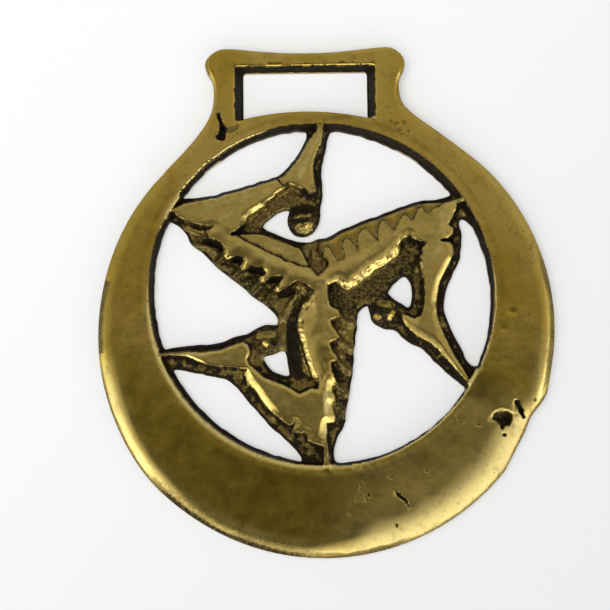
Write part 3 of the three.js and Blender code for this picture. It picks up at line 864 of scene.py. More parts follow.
@dataclass
class Casting:
    """The brass as one closed mesh: its face, its walls and its back."""

    relief: Relief
    outlines: Outlines
    loops: list[np.ndarray]
    crests: list[np.ndarray]
    fine_gap: float = 0.22
    coarse_gap: float = 0.42
    back_gap: float = 1.8
    wall_rows: int = 4
    least_wall: float = 0.25
    sharp_edge: float = 50.0

    def hex_points(self, step: float, wanted: np.ndarray) -> np.ndarray:
        """Lays points in a honeycomb where a map is true.

        Args:
            step: The gap between points.
            wanted: The map.

        Returns:
            The points, a row each.
        """
        plan = self.relief.plan
        rise = step * math.sqrt(3) / 2
        rows = []
        for k, y in enumerate(np.arange(plan.foot, plan.y[-1], rise)):
            xs = np.arange(plan.left + (k % 2) * step / 2, plan.x[-1], step)
            rows.append(np.stack([xs, np.full(len(xs), y)], axis=1))
        points = np.concatenate(rows)
        return points[wanted[plan.cells(points)]]

    def fill(self, inner: np.ndarray) -> tuple[np.ndarray, np.ndarray]:
        """Fills the metal between the outlines with triangles.

        Args:
            inner: Points on the metal.

        Returns:
            The points, outlines first and in order, and the triangles.
        """
        points = np.concatenate([*self.loops, inner])
        edges = []
        first = 0
        for loop in self.loops:
            count = len(loop)
            edges += [(first + i, first + (i + 1) % count) for i in range(count)]
            first += count
        made = delaunay_2d_cdt([Vector(p) for p in points], edges, [], 0, 1e-7)
        triangles = np.array([face for face in made[2] if len(face) == 3])
        if len(made[0]) != len(points):
            raise RuntimeError("two outline points fell together")
        doubtful = np.all(triangles < first, axis=1)
        keep = np.ones(len(triangles), dtype=bool)
        keep[doubtful] = enclosed(points[triangles[doubtful]].mean(axis=1), self.loops)
        return points, triangles[keep]

    def face_points(self) -> np.ndarray:
        """Lays the face's points, fine where it has detail and along the legs' edges.

        Returns:
            The points, a row each.
        """
        relief, plan = self.relief, self.relief.plan
        clear = relief.from_edge > 0.16
        fine = self.hex_points(self.fine_gap, relief.detailed & clear)
        far = plan.distance(relief.detailed, 0.4) > 0.2
        coarse = self.hex_points(self.coarse_gap, relief.metal & clear & far)
        crest = np.concatenate(self.crests)
        crest = crest[plan.sample(relief.from_edge, crest) > 0.2]
        near_crest = np.zeros(plan.shape, dtype=bool)
        near_crest[plan.cells(crest)] = True
        apart = plan.distance(near_crest, 0.3)
        kept = [points[plan.sample(apart, points) > 0.11] for points in (fine, coarse)]
        return np.concatenate([crest, *kept])

    def face_heights(self, points: np.ndarray) -> np.ndarray:
        """Reads the relief at the face's points.

        Args:
            points: The points, the outlines' first.

        Returns:
            Their heights.
        """
        relief, plan = self.relief, self.relief.plan
        height = plan.blur_within(relief.height, relief.metal, 0.1)
        height = np.where(relief.metal & (relief.from_edge > 0.15), relief.height, height)
        heights = np.clip(plan.sample(height, points), 0.0, relief.highest)
        rim = sum(len(loop) for loop in self.loops)
        heights[:rim] = np.maximum(heights[:rim], self.least_wall)
        return heights

    def raise_walls(self, heights: np.ndarray, first: int) -> tuple[list[np.ndarray], list[np.ndarray]]:
        """Makes the walls under the outlines, rough in the windows and filed smooth outside.

        Args:
            heights: The heights of the face's points.
            first: The first wall point's index.

        Returns:
            The wall points, and the walls' triangles down to the back's outline points.
        """
        chance = np.random.default_rng(9)
        places, rings = [], []
        start, total = 0, first
        for loop in self.loops:
            count = len(loop)
            rough, inset = (0.008, 0.0) if self.outlines.is_outer(loop) else (0.05, 0.03)
            ring = [np.arange(start, start + count)]
            for row in range(1, self.wall_rows):
                bump = chance.standard_normal(count)
                bump = (bump + np.roll(bump, 1) + np.roll(bump, -1)) / 3
                shift = outward(loop) * (bump * rough - inset)[:, None]
                share = 1.0 - row / self.wall_rows
                places.append(np.column_stack([loop + shift, heights[start : start + count] * share]))
                ring.append(np.arange(total, total + count))
                total += count
            rings.append(ring)
            start += count
        faces, start = [], total
        for loop, ring in zip(self.loops, rings):
            ring.append(np.arange(start, start + len(loop)))
            start += len(loop)
            for upper, lower in zip(ring[:-1], ring[1:]):
                a, b = upper, np.roll(upper, -1)
                c, d = np.roll(lower, -1), lower
                faces.append(np.concatenate([np.column_stack([a, d, c]), np.column_stack([a, c, b])]))
        return places, faces

    def build(self, name: str) -> bpy.types.Object:
        """Makes the closed mesh.

        Args:
            name: The piece's name.

        Returns:
            The piece.
        """
        relief = self.relief
        top, top_faces = self.fill(self.face_points())
        back, back_faces = self.fill(self.hex_points(self.back_gap, relief.from_edge > 0.9))
        heights = self.face_heights(top)
        walls, wall_faces = self.raise_walls(heights, len(top))
        below = np.column_stack([back, np.zeros(len(back))])
        vertices = np.concatenate([np.column_stack([top, heights]), *walls, below])
        back_faces = back_faces[:, ::-1] + (len(vertices) - len(back))
        triangles = np.concatenate([top_faces, back_faces, *wall_faces])
        mesh = bpy.data.meshes.new(name)
        mesh.vertices.add(len(vertices))
        mesh.vertices.foreach_set("co", (vertices * MILLIMETRE).astype(np.float32).ravel())
        mesh.loops.add(len(triangles) * 3)
        mesh.loops.foreach_set("vertex_index", triangles.astype(np.int32).ravel())
        mesh.polygons.add(len(triangles))
        mesh.polygons.foreach_set("loop_start", np.arange(0, len(triangles) * 3, 3, dtype=np.int32))
        mesh.update(calc_edges=True)
        mesh.validate()
        self.write_map(mesh, "soot", vertices, len(top), relief.soot, Sides(0.85, 0.35, 0.45))
        self.write_map(mesh, "skin", vertices, len(top), relief.skin, Sides(1.0, 0.3, 0.6))
        self.write_map(mesh, "worn", vertices, len(top), relief.worn, Sides(0.0, 0.3, 0.0))
        piece = bpy.data.objects.new(name, mesh)
        bpy.context.scene.collection.objects.link(piece)
        self.smooth(piece)
        log.info("%s: %d triangles", name, len(triangles))
        return piece

    def write_map(
        self,
        mesh: bpy.types.Mesh,
        name: str,
        vertices: np.ndarray,
        face_count: int,
        values: np.ndarray,
        sides: Sides,
    ) -> None:
        """Writes one of the relief's maps on the mesh's points.

        Args:
            mesh: The mesh.
            name: The attribute's name.
            vertices: The mesh's points in millimetres, the face first.
            face_count: How many of them are the face's.
            values: The map over the plan.
            sides: The values on the walls, the filed rim and the back.
        """
        relief, plan = self.relief, self.relief.plan
        spread = plan.blur_within(values, relief.metal, 0.15)
        filled = np.where(relief.metal & (relief.from_edge > 0.15), values, spread)
        at = plan.sample(filled, vertices[:, :2])
        x, y, z = vertices.T
        below = np.arange(len(vertices)) >= face_count
        loop_sides = (y > 22.0) & (np.abs(x + 1.5) > 14.5)
        outer = (np.hypot(x, y - relief.plate_middle) > 36.3) | (y > 40.3) | loop_sides
        at[below] = np.where(outer[below], sides.rim, sides.wall)
        at[below & (z < 1e-4)] = sides.back
        attribute = mesh.attributes.new(name, "FLOAT", "POINT")
        attribute.data.foreach_set("value", at.astype(np.float32))

    def smooth(self, piece: bpy.types.Object) -> None:
        """Shades the piece smooth, save for its sharp edges.

        Args:
            piece: The piece.
        """
        bpy.ops.object.select_all(action="DESELECT")
        piece.select_set(True)
        bpy.context.view_layer.objects.active = piece
        bpy.ops.object.shade_smooth_by_angle(angle=math.radians(self.sharp_edge))

    @staticmethod
    def dress(piece: bpy.types.Object, finish: "BrassFinish") -> None:
        """Gives the piece its finish."""
        piece.data.materials.append(finish.build())


class Socket:
    """A shader socket that Python's operators work on."""

    def __init__(self, tree: bpy.types.NodeTree, socket: bpy.types.NodeSocket | None) -> None:
        """Keeps the socket and the tree that it is in."""
        self.tree = tree
        self.socket = socket

    def math(self, operation: str, *others: "Socket | float") -> "Socket":
        """Adds a Math node on this socket and others."""
        return Nodes(self.tree).add("ShaderNodeMath", {"operation": operation}, [self, *others])

    def __add__(self, other: "Socket | float") -> "Socket":
        """Adds."""
        return self.math("ADD", other)

    __radd__ = __add__

    def __mul__(self, other: "Socket | float") -> "Socket":
        """Multiplies."""
        return self.math("MULTIPLY", other)

    __rmul__ = __mul__

    def __neg__(self) -> "Socket":
        """Turns the sign."""
        return self * -1.0

    def __sub__(self, other: "Socket | float") -> "Socket":
        """Subtracts."""
        return self.math("SUBTRACT", other)

    def __rsub__(self, other: float) -> "Socket":
        """Subtracts this socket from a number."""
        return -self + other

    def __truediv__(self, other: "Socket | float") -> "Socket":
        """Divides."""
        return self.math("DIVIDE", other)

    def __pow__(self, other: float) -> "Socket":
        """Raises to a power."""
        return self.math("POWER", other)


class Nodes:
    """Adds nodes to a tree."""

    MIX_LOW, MIX_HIGH, MIX_COLOUR = 6, 7, 2

    def __init__(self, tree: bpy.types.NodeTree) -> None:
        """Keeps the tree."""
        self.tree = tree

    @classmethod
    def fresh(cls, owner: bpy.types.Material | bpy.types.World) -> "Nodes":
        """Empties the node tree of a material or a world.

        Args:
            owner: What the tree belongs to.

        Returns:
            The empty tree's nodes.
        """
        owner.use_nodes = True
        owner.node_tree.nodes.clear()
        return cls(owner.node_tree)

    def add(
        self,
        kind: str,
        settings: dict | None = None,
        inputs: dict | list | None = None,
        out: str | int = 0,
    ) -> Socket:
        """Adds a node.

        Args:
            kind: The node's type.
            settings: Its properties.
            inputs: Values or sockets by name or in order.
            out: The output that is wanted.

        Returns:
            The wanted output.
        """
        node = self.tree.nodes.new(kind)
        for key, value in (settings or {}).items():
            setattr(node, key, value)
        pairs = inputs.items() if isinstance(inputs, dict) else enumerate(inputs or [])
        for key, value in pairs:
            if isinstance(value, Socket):
                self.tree.links.new(value.socket, node.inputs[key])
            elif isinstance(value, tuple) and len(value) == 3 and len(node.inputs[key].default_value) == 4:
                node.inputs[key].default_value = (*value, 1.0)
            else:
                node.inputs[key].default_value = value
        return Socket(self.tree, node.outputs[out] if len(node.outputs) else None)

    def attribute(self, name: str) -> Socket:
        """Reads one of the mesh's maps."""
        return self.add("ShaderNodeAttribute", {"attribute_name": name}, {}, out="Fac")

    def split(self, vector: Socket) -> list[Socket]:
        """Parts a vector into x, y and z."""
        return [self.add("ShaderNodeSeparateXYZ", {}, [vector], out=k) for k in range(3)]

    def noise(self, place: Socket, scale: float, detail: float, rough: float) -> Socket:
        """Adds a Noise Texture and gives its value."""
        values = {"Vector": place, "Scale": scale, "Detail": detail, "Roughness": rough}
        return self.add("ShaderNodeTexNoise", {}, values)

    def mix(self, share: "Socket | float", low: "Socket | Colour", high: "Socket | Colour") -> Socket:
        """Mixes two colours."""
        values = {"Factor": share, self.MIX_LOW: low, self.MIX_HIGH: high}
        return self.add("ShaderNodeMix", {"data_type": "RGBA"}, values, out=self.MIX_COLOUR)

    def ease(self, value: Socket, low: float, high: float) -> Socket:
        """Rises smoothly from 0 at low to 1 at high."""
        values = {"Value": value, "From Min": low, "From Max": high}
        return self.add("ShaderNodeMapRange", {"interpolation_type": "SMOOTHSTEP"}, values)


@dataclass(frozen=True)
class BrassFinish:
    """Old brass: rubbed bright on the face, in places with a painted sheen, brown where it lies low, black
    in its pits, and painted darker towards the bottom of the plate as shade.
    """

    rubbed: Colour = (0.57, 0.39, 0.085)
    toned: Colour = (0.46, 0.305, 0.036)
    # shaded: the painted shade mixed in towards the bottom of the plate.
    shaded: Colour = (0.43, 0.295, 0.022)
    rust: Colour = (0.45, 0.24, 0.04)
    # pale: rubbed brass, also the colour of painted highlights where the worn map carries them.
    pale: Colour = (0.745, 0.578, 0.195)
    brown: Colour = (0.25, 0.175, 0.045)
    crust: Colour = (0.016, 0.011, 0.005)
    lower_shade_depth: float = 0.022
    polish: float = 0.25

    def build(self) -> bpy.types.Material:
        """Makes the material.

        Returns:
            The material.
        """
        material = bpy.data.materials.new("old_brass")
        nodes = Nodes.fresh(material)
        place = nodes.add("ShaderNodeTexCoord", {}, {}, out="Object")
        soot, skin, worn = (nodes.attribute(name) for name in ("soot", "skin", "worn"))
        cloud = nodes.noise(place, 60.0, 4.0, 0.55)
        blotch = nodes.noise(place, 170.0, 5.0, 0.6)
        speck = nodes.noise(place, 1100.0, 2.0, 0.5)
        smudge = nodes.noise(place, 420.0, 4.0, 0.65)
        grit = nodes.noise(place, 2400.0, 3.0, 0.6)
        pits = nodes.noise(place, 4200.0, 1.0, 0.5)
        # Dirt and painted shade: the soot and shade map, roughened by grit.
        dirt_and_shade = soot + (grit - 0.5) * 0.7 * nodes.ease(soot, 0.05, 0.5)
        # Painted shade: the plate is toned and shaded darker towards its bottom.
        foot = nodes.ease(-nodes.split(place)[1], 0.0, self.lower_shade_depth)
        toned = nodes.ease(cloud - foot * 0.18, 0.38, 0.6) * 0.8 + foot * 0.2
        metal = nodes.mix(toned, self.rubbed, self.toned)
        metal = nodes.mix(foot * 0.65, metal, self.shaded)
        metal = nodes.mix(nodes.ease(blotch, 0.54, 0.74) * 0.6, metal, self.rust)
        # Pale where the worn map is high: rubbing, and in places a painted highlight.
        metal = nodes.mix(worn * (1.3 - smudge * 0.6), metal, self.pale)
        metal = nodes.mix(nodes.ease(smudge, 0.5, 0.72) * 0.32, metal, self.brown)
        metal = nodes.mix(nodes.ease(speck, 0.62, 0.76) * 0.5, metal, self.brown)
        metal = nodes.mix(nodes.ease(pits + smudge * 0.25, 0.8, 0.9) * 0.75, metal, self.crust)
        colour = nodes.mix(nodes.ease(dirt_and_shade, 0.15, 0.5), metal, self.brown)
        colour = nodes.mix(nodes.ease(dirt_and_shade, 0.5, 0.9), colour, self.crust)
        rough = self.polish + soot * soot * 0.5 + (blotch - 0.5) * 0.16 + (smudge - 0.5) * 0.2
        rough = rough + nodes.ease(worn, 0.6, 1.0) * 0.28
        height = grit * (0.1 + skin) + speck * 0.15
        bump = nodes.add("ShaderNodeBump", {}, {"Strength": 0.3, "Distance": 0.0001, "Height": height})
        surface = {
            "Base Color": colour,
            "Metallic": 1.0 - nodes.ease(dirt_and_shade, 0.6, 1.0) * 0.15,
            "Roughness": rough,
            "Specular IOR Level": 0.2,
            "Normal": bump,
        }
        shader = nodes.add("ShaderNodeBsdfPrincipled", {}, surface)
        nodes.add("ShaderNodeOutputMaterial", {}, {"Surface": shader})
        return material


@dataclass(frozen=True)
class TableFinish:
    """A white table with a painted falloff of light, brighter towards its far left, and a faint glow that
    stands in for fill light.
    """

    # Painted light: the table darkens towards its near right and brightens towards its far left.
    near: Colour = (0.196, 0.194, 0.185)
    far: Colour = (0.245, 0.243, 0.231)
    fade: float = 0.11
    painted_fill_glow: float = 0.3

    def build(self) -> bpy.types.Material:
        """Makes the material.

        Returns:
            The material.
        """
        material = bpy.data.materials.new("white_table")
        nodes = Nodes.fresh(material)
        x, y, _ = nodes.split(nodes.add("ShaderNodeTexCoord", {}, {}, out="Object"))
        surface = {
            "Base Color": nodes.mix(nodes.ease(y - x, -self.fade, self.fade), self.near, self.far),
            "Roughness": 0.9,
            "Specular IOR Level": 0.1,
            # Painted fill light: the table glows, which lifts the shade in the windows.
            "Emission Color": (1.0, 1.0, 1.0),
            "Emission Strength": self.painted_fill_glow,
        }
        shader = nodes.add("ShaderNodeBsdfPrincipled", {}, surface)
        nodes.add("ShaderNodeOutputMaterial", {}, {"Surface": shader})
        return material


@dataclass(frozen=True)
class Studio:
    """A white table in a soft room, which is dark overhead where the camera stands."""

    table_size: float = 3.0
    table_gap: float = 0.00003
    side_light: float = 0.54
    front_light: float = 3.0
    dark_light: float = 0.06
    dark_middle: Point = (-0.02, -0.14)
    dark_spread: Point = (0.29, 0.27)
    overhead_energy: float = 5.9
    overhead_angle: float = 50.0
    overhead_tilt: Point = (8.0, -10.0)

    def build_table(self) -> None:
        """Lays the white table just under the brass."""
        bpy.ops.mesh.primitive_plane_add(size=self.table_size, location=(0, 0, -self.table_gap))
        table = bpy.context.object
        table.name = "table"
        table.data.materials.append(TableFinish().build())

    def build_room(self) -> None:
        """Lights the room: dim overhead, bright round the sides and brightest in front."""
        bpy.context.scene.view_settings.view_transform = "Standard"
        world = bpy.data.worlds.new("room")
        bpy.context.scene.world = world
        nodes = Nodes.fresh(world)
        x, y, z = nodes.split(nodes.add("ShaderNodeTexCoord", {}, {}, out="Generated"))
        across = (x / z - self.dark_middle[0]) / self.dark_spread[0]
        along = (y / z - self.dark_middle[1]) / self.dark_spread[1]
        blocked = (across * across + along * along) ** 0.5
        dark = nodes.ease(-blocked, -1.28, -0.9) * nodes.ease(z, 0.0, 0.2)
        front = nodes.ease(-y, -0.35, 0.5)
        low = nodes.ease(z, 0.9, 0.4) * nodes.ease(z, 0.12, 0.42)
        side = self.side_light + low * (0.1 + front * self.front_light)
        level = side * (1.0 - dark) + dark * self.dark_light
        seen = nodes.add("ShaderNodeLightPath", {}, {}, out="Is Camera Ray")
        level = level * (1.0 - seen) + seen
        cool = nodes.mix(low, (1.0, 0.985, 0.95), (0.9, 1.0, 1.3))
        tint = nodes.mix(seen, cool, (0.97, 0.975, 0.985))
        back = nodes.add("ShaderNodeBackground", {}, {"Color": tint, "Strength": level})
        nodes.add("ShaderNodeOutputWorld", {}, {"Surface": back})

    def build_overhead(self) -> None:
        """Hangs the broad overhead light that whitens the table and isn't mirrored in the metal."""
        data = bpy.data.lights.new("overhead", "SUN")
        data.angle = math.radians(self.overhead_angle)
        data.energy = self.overhead_energy
        lamp = bpy.data.objects.new("overhead", data)
        lamp.rotation_euler = (*map(math.radians, self.overhead_tilt), 0.0)
        lamp.visible_glossy = False
        bpy.context.scene.collection.objects.link(lamp)


@dataclass(frozen=True)
class Stance:
    """Where the camera stands: over the brass, a little in front of it and turned a little."""

    aim: tuple[float, float, float] = (-3.25, -0.95, 0.0)
    away: float = 300.0
    elevation: float = 82.0
    roll: float = 2.75
    pixels_per_mm: float = 6.03
    frame_pixels: int = 610

    def build(self) -> None:
        """Sets up the scene's camera."""
        rise, roll = math.radians(self.elevation), math.radians(self.roll)
        back = Vector((0.0, -math.cos(rise), math.sin(rise)))
        right = Vector((1.0, 0.0, 0.0))
        up = back.cross(right)
        across = right * math.cos(roll) - up * math.sin(roll)
        upward = right * math.sin(roll) + up * math.cos(roll)
        data = bpy.data.cameras.new("camera")
        data.sensor_width = 36.0
        data.lens = data.sensor_width * self.pixels_per_mm * self.away / self.frame_pixels
        data.clip_start = 0.01
        camera = bpy.data.objects.new("camera", data)
        turn = Matrix((across, upward, back)).transposed().to_4x4()
        place = (Vector(self.aim) + back * self.away) * MILLIMETRE
        camera.matrix_world = Matrix.Translation(place) @ turn
        bpy.context.scene.collection.objects.link(camera)
        bpy.context.scene.camera = camera


# The flat faces of the three legs, in millimetres from the middle of the back.
UPPER_LEG = (
    (-24.6, 15.7), (-22.5, 16.6), (-20.0, 17.1), (-18.0, 17.6), (-15.8, 18.1), (-13.7, 18.7), (-11.1, 19.1),
    (-8.9, 19.5), (-7.0, 20.2), (-5.9, 20.4), (-4.9, 21.4),
    (-3.7, 22.6), (-2.8, 24.3), (-1.8, 25.7), (-0.8, 27.1),
    (0.1, 28.0), (0.2, 29.6), (1.5, 29.6), (1.15, 28.4),
    (1.05, 27.1), (0.95, 25.9), (0.3, 24.7), (-0.4, 23.3),
    (-0.75, 21.9), (-0.75, 20.4), (-0.6, 19.0), (-0.5, 17.8), (-0.9, 17.3), (-1.7, 17.0), (-2.2, 17.9),
    (-3.0, 18.5), (-4.2, 19.1), (-5.2, 19.3), (-5.8, 18.7), (-7.0, 18.0), (-8.3, 16.9), (-9.9, 16.1),
    (-11.6, 15.1), (-13.0, 14.2), (-13.2, 13.8), (-12.8, 13.1), (-13.3, 12.3), (-14.3, 11.4), (-15.0, 11.1),
    (-13.5, 11.0), (-11.7, 11.0), (-10.0, 10.8), (-9.0, 10.4),
    (-7.5, 9.8), (-5.3, 8.8), (-3.8, 8.2), (-3.2, 7.2),
    (-2.7, 6.0), (-2.3, 5.1), (-0.9, 3.5), (1.5, 3.9), (0.5, 1.6), (-1.2, 0.2), (-1.7, 1.0), (-2.8, 1.8),
    (-4.3, 2.7), (-5.0, 2.4), (-5.7, 1.8), (-7.0, 1.5), (-7.9, 1.2), (-6.9, 2.4), (-6.7, 3.3), (-6.8, 3.65),
    (-8.7, 3.6), (-9.3, 3.2), (-10.4, 2.7), (-10.0, 3.3),
    (-9.0, 4.5), (-9.3, 4.95), (-10.0, 5.35), (-11.0, 5.3),
    (-12.2, 5.6), (-13.3, 5.15), (-12.5, 6.4), (-12.6, 6.9), (-13.2, 7.2), (-14.2, 7.35), (-15.4, 7.3),
    (-15.8, 8.3), (-15.6, 9.0), (-16.7, 9.8), (-17.7, 10.3), (-18.7, 10.8), (-18.8, 11.8), (-17.9, 12.5),
    (-20.0, 12.9), (-22.0, 13.5), (-23.6, 14.5),
)

RIGHT_LEG = (
    (-0.9, 3.4), (0.8, 4.9), (0.9, 5.8), (0.1, 6.6), (0.2, 8.0),
    (0.9, 8.3), (1.5, 7.9), (1.8, 7.0), (2.4, 5.8),
    (3.5, 6.1), (3.6, 7.0), (3.2, 8.0), (3.4, 8.9), (4.0, 9.5),
    (4.8, 9.2), (5.2, 8.4), (6.0, 7.4), (5.8, 8.6),
    (6.0, 9.8), (6.6, 10.7), (7.4, 11.0), (8.0, 10.4), (8.6, 9.6), (9.3, 8.8), (9.2, 10.0), (9.4, 10.9),
    (9.9, 12.0), (10.6, 12.3), (11.2, 11.4), (12.0, 10.4),
    (12.7, 11.4), (13.3, 12.7), (14.0, 13.1), (14.5, 12.7),
    (15.0, 11.9), (15.6, 12.7), (16.1, 13.9), (17.0, 14.2), (17.4, 13.1), (18.2, 13.0), (18.6, 13.7),
    (19.8, 14.2), (20.6, 14.7), (22.0, 15.0), (24.2, 15.6), (24.0, 14.8), (22.7, 14.4), (22.6, 13.6),
    (22.2, 12.6), (21.2, 11.0), (22.0, 10.4), (21.8, 9.4),
    (21.0, 8.7), (20.0, 8.3), (21.2, 8.1), (21.8, 7.4),
    (21.7, 6.2), (21.2, 5.1), (20.2, 3.3), (19.3, 1.7),
    (18.8, 0.2), (18.4, -1.8), (18.4, -3.9), (18.7, -5.3),
    (19.4, -7.3), (20.3, -9.5), (21.2, -11.3), (22.2, -13.1), (23.2, -15.2), (22.6, -15.3), (22.0, -14.6),
    (21.0, -13.4), (20.0, -12.1), (19.0, -10.8), (18.0, -9.6), (17.0, -8.6), (15.3, -7.6), (14.0, -6.6),
    (13.0, -5.4), (12.4, -4.2), (12.7, -3.5), (13.6, -3.8), (14.6, -4.3), (15.6, -4.0), (16.2, -2.7),
    (16.4, -0.3), (16.4, 1.3), (16.5, 3.0), (16.3, 5.0), (16.4, 7.2), (17.2, 8.1), (15.5, 8.6), (14.5, 9.2),
    (14.6, 9.7), (13.6, 9.2), (12.6, 8.3), (12.2, 7.6), (11.3, 6.9), (10.0, 6.0), (8.0, 4.9), (6.5, 3.7),
    (5.0, 2.8), (3.8, 2.1), (2.5, 2.9), (0.8, 2.0), (-1.0, 1.6),
)

LOWER_LEG = (
    (-1.7, 0.6), (-1.4, 2.4), (0.0, 3.5), (1.4, 3.4), (0.7, 1.9), (0.7, -0.3), (1.0, -1.7), (2.2, -2.3),
    (2.8, -3.4), (0.9, -4.1), (1.1, -5.0), (2.0, -6.3), (2.4, -7.2), (0.6, -7.7), (0.9, -9.0), (1.5, -9.8),
    (1.9, -10.7), (0.6, -11.0), (0.7, -12.3), (1.2, -13.8), (1.4, -14.4), (0.6, -14.7), (0.5, -15.7),
    (0.9, -16.5), (1.0, -17.4), (0.3, -17.8), (0.5, -18.6), (0.8, -19.8), (0.7, -20.8), (-0.6, -20.9),
    (-0.7, -23.2), (-0.5, -25.5), (-0.3, -28.9), (-1.6, -28.9), (-1.4, -26.2), (-1.3, -24.8), (-2.6, -24.2),
    (-3.9, -23.6), (-4.1, -22.1), (-4.9, -22.5), (-6.4, -22.0), (-5.6, -20.1), (-6.4, -21.1), (-7.0, -20.9),
    (-7.8, -20.3), (-9.3, -19.0), (-10.3, -17.8), (-11.2, -16.5), (-12.0, -15.0), (-13.0, -13.8),
    (-13.5, -12.4), (-13.4, -11.5), (-15.3, -11.1), (-18.7, -10.7), (-21.2, -9.9), (-23.2, -8.9),
    (-25.6, -8.6), (-28.4, -8.8), (-28.4, -8.2), (-25.7, -8.2), (-22.8, -8.0), (-20.1, -8.2), (-17.6, -8.0),
    (-15.3, -7.3), (-13.7, -6.8), (-12.8, -7.4), (-12.6, -8.6),
    (-13.0, -9.8), (-12.7, -10.7), (-12.2, -11.1),
    (-11.6, -11.7), (-10.5, -12.8), (-8.9, -13.6), (-7.4, -14.2),
    (-6.0, -15.0), (-4.9, -15.8), (-3.0, -15.0),
    (-1.8, -15.1), (-1.7, -13.4), (-2.2, -11.9), (-2.8, -9.8), (-3.1, -8.2), (-3.6, -6.1), (-3.5, -4.0),
    (-3.0, -2.3), (-1.8, -0.8),
)

# Path, width and glint of the walls that slope gently.
GENTLE_SLOPES = (
    Slope(((3.8, 2.0), (5.0, 2.6), (6.5, 3.5), (8.0, 4.6), (10.0, 5.8), (11.6, 7.0)), 1.1, 0.5),
    Slope(((-3.7, -6.0), (-3.3, -8.5), (-2.6, -11.0), (-2.0, -12.6)), 0.8, 0.55),
    Slope(((-2.0, -0.8), (-3.2, -2.4), (-3.6, -4.8)), 1.2, 0.5),
    Slope(((-13.0, 13.9), (-11.4, 14.9), (-9.8, 15.8)), 0.8, 0.62),
    Slope(((-15.7, 8.7), (-15.5, 7.6)), 0.62, 1.0),
    Slope(((-12.8, 6.5), (-13.1, 5.6)), 0.5, 1.0),
    Slope(((-9.4, 4.5), (-10.1, 3.3)), 0.45, 1.0),
    Slope(((-6.9, 2.6), (-7.6, 1.6)), 0.45, 1.0),
    Slope(((-8.6, 16.6), (-7.0, 17.7), (-5.9, 18.4)), 0.35, 0.6),
    Slope(((-4.6, 18.9), (-3.2, 18.3)), 0.3, 0.5),
    Slope(((16.3, 5.6), (16.2, 4.0), (16.4, 3.0)), 0.4, 0.3),
    Slope(((12.5, 8.2), (14.4, 9.6)), 0.25, 0.9),
    Slope(((0.8, 2.0), (2.4, 2.8)), 0.2, 0.9),
    Slope(((-13.5, -12.4), (-12.9, -13.8)), 0.3, 0.4),
)

# Path, radius, fall, reach and power of the worn edges.
WORN_EDGES = (
    Rounding(((2.0, 2.6), (5.0, 2.7), (8.0, 4.8), (12.4, 8.0), (14.0, 9.3)), 1.4, 0.24, 0.6, 2.0),
    Rounding(((-18.0, 10.8), (-14.5, 7.4), (-12.0, 5.4), (-8.8, 3.6), (-5.0, 2.0)), 2.4, 0.09, 0.6, 2.0),
    Rounding(((-3.4, -3.0), (-3.5, -6.0), (-2.6, -10.0), (-1.8, -14.0)), 2.0, 0.3, 0.6, 2.0),
    Rounding(((22.4, 13.4), (21.4, 11.2), (22.0, 9.6)), 1.6, 0.25, 0.5, 2.0),
    Rounding(((21.5, 6.4), (21.1, 5.0)), 1.0, 0.2),
    Rounding(((20.6, 4.0), (19.9, 2.6), (18.9, 0.2), (18.6, -1.2)), 1.2, 0.5, 0.5),
    Rounding(((18.5, -4.5), (19.4, -7.3), (20.6, -10.2), (22.2, -13.2)), 1.0, 0.3),
    Rounding(
        ((13.0, -5.4), (15.3, -7.6), (17.5, -9.0), (19.0, -10.8), (21.0, -13.4), (22.4, -15.0)),
        1.5, 0.42,
    ),
    Rounding(((0.9, -14.0), (0.9, -16.0), (0.7, -19.5), (-0.7, -22.0), (-1.0, -25.2)), 1.25, 0.7, 0.9, 1.0),
    Rounding(((1.2, -1.7), (1.6, -5.5), (1.5, -9.5), (1.0, -12.5)), 0.5, 0.2),
    Rounding(((-13.3, -13.2), (-11.2, -16.4), (-10.0, -18.2)), 1.3, 0.62, 0.6, 1.3),
    Rounding(((-8.4, -20.0), (-7.0, -21.0), (-4.5, -22.8), (-1.6, -24.7)), 1.4, 0.2, 0.8, 1.0),
    Rounding(((-2.0, -15.1), (-4.9, -15.8), (-7.4, -14.2), (-10.5, -12.8), (-12.3, -11.2)), 0.65, 0.3, 0.6),
    Rounding(((-12.8, -10.0), (-12.8, -7.4), (-15.3, -7.3), (-20.0, -8.2), (-25.6, -8.2)), 0.6, 0.3, 0.5),
    Rounding(((-20.8, -9.9), (-23.5, -8.9)), 0.5, 0.35, 0.3, 1.0),
    Rounding(((1.1, 27.2), (0.3, 24.7), (-0.7, 21.5), (-0.6, 18.6)), 0.5, 0.16, 0.4, 1.0),
)
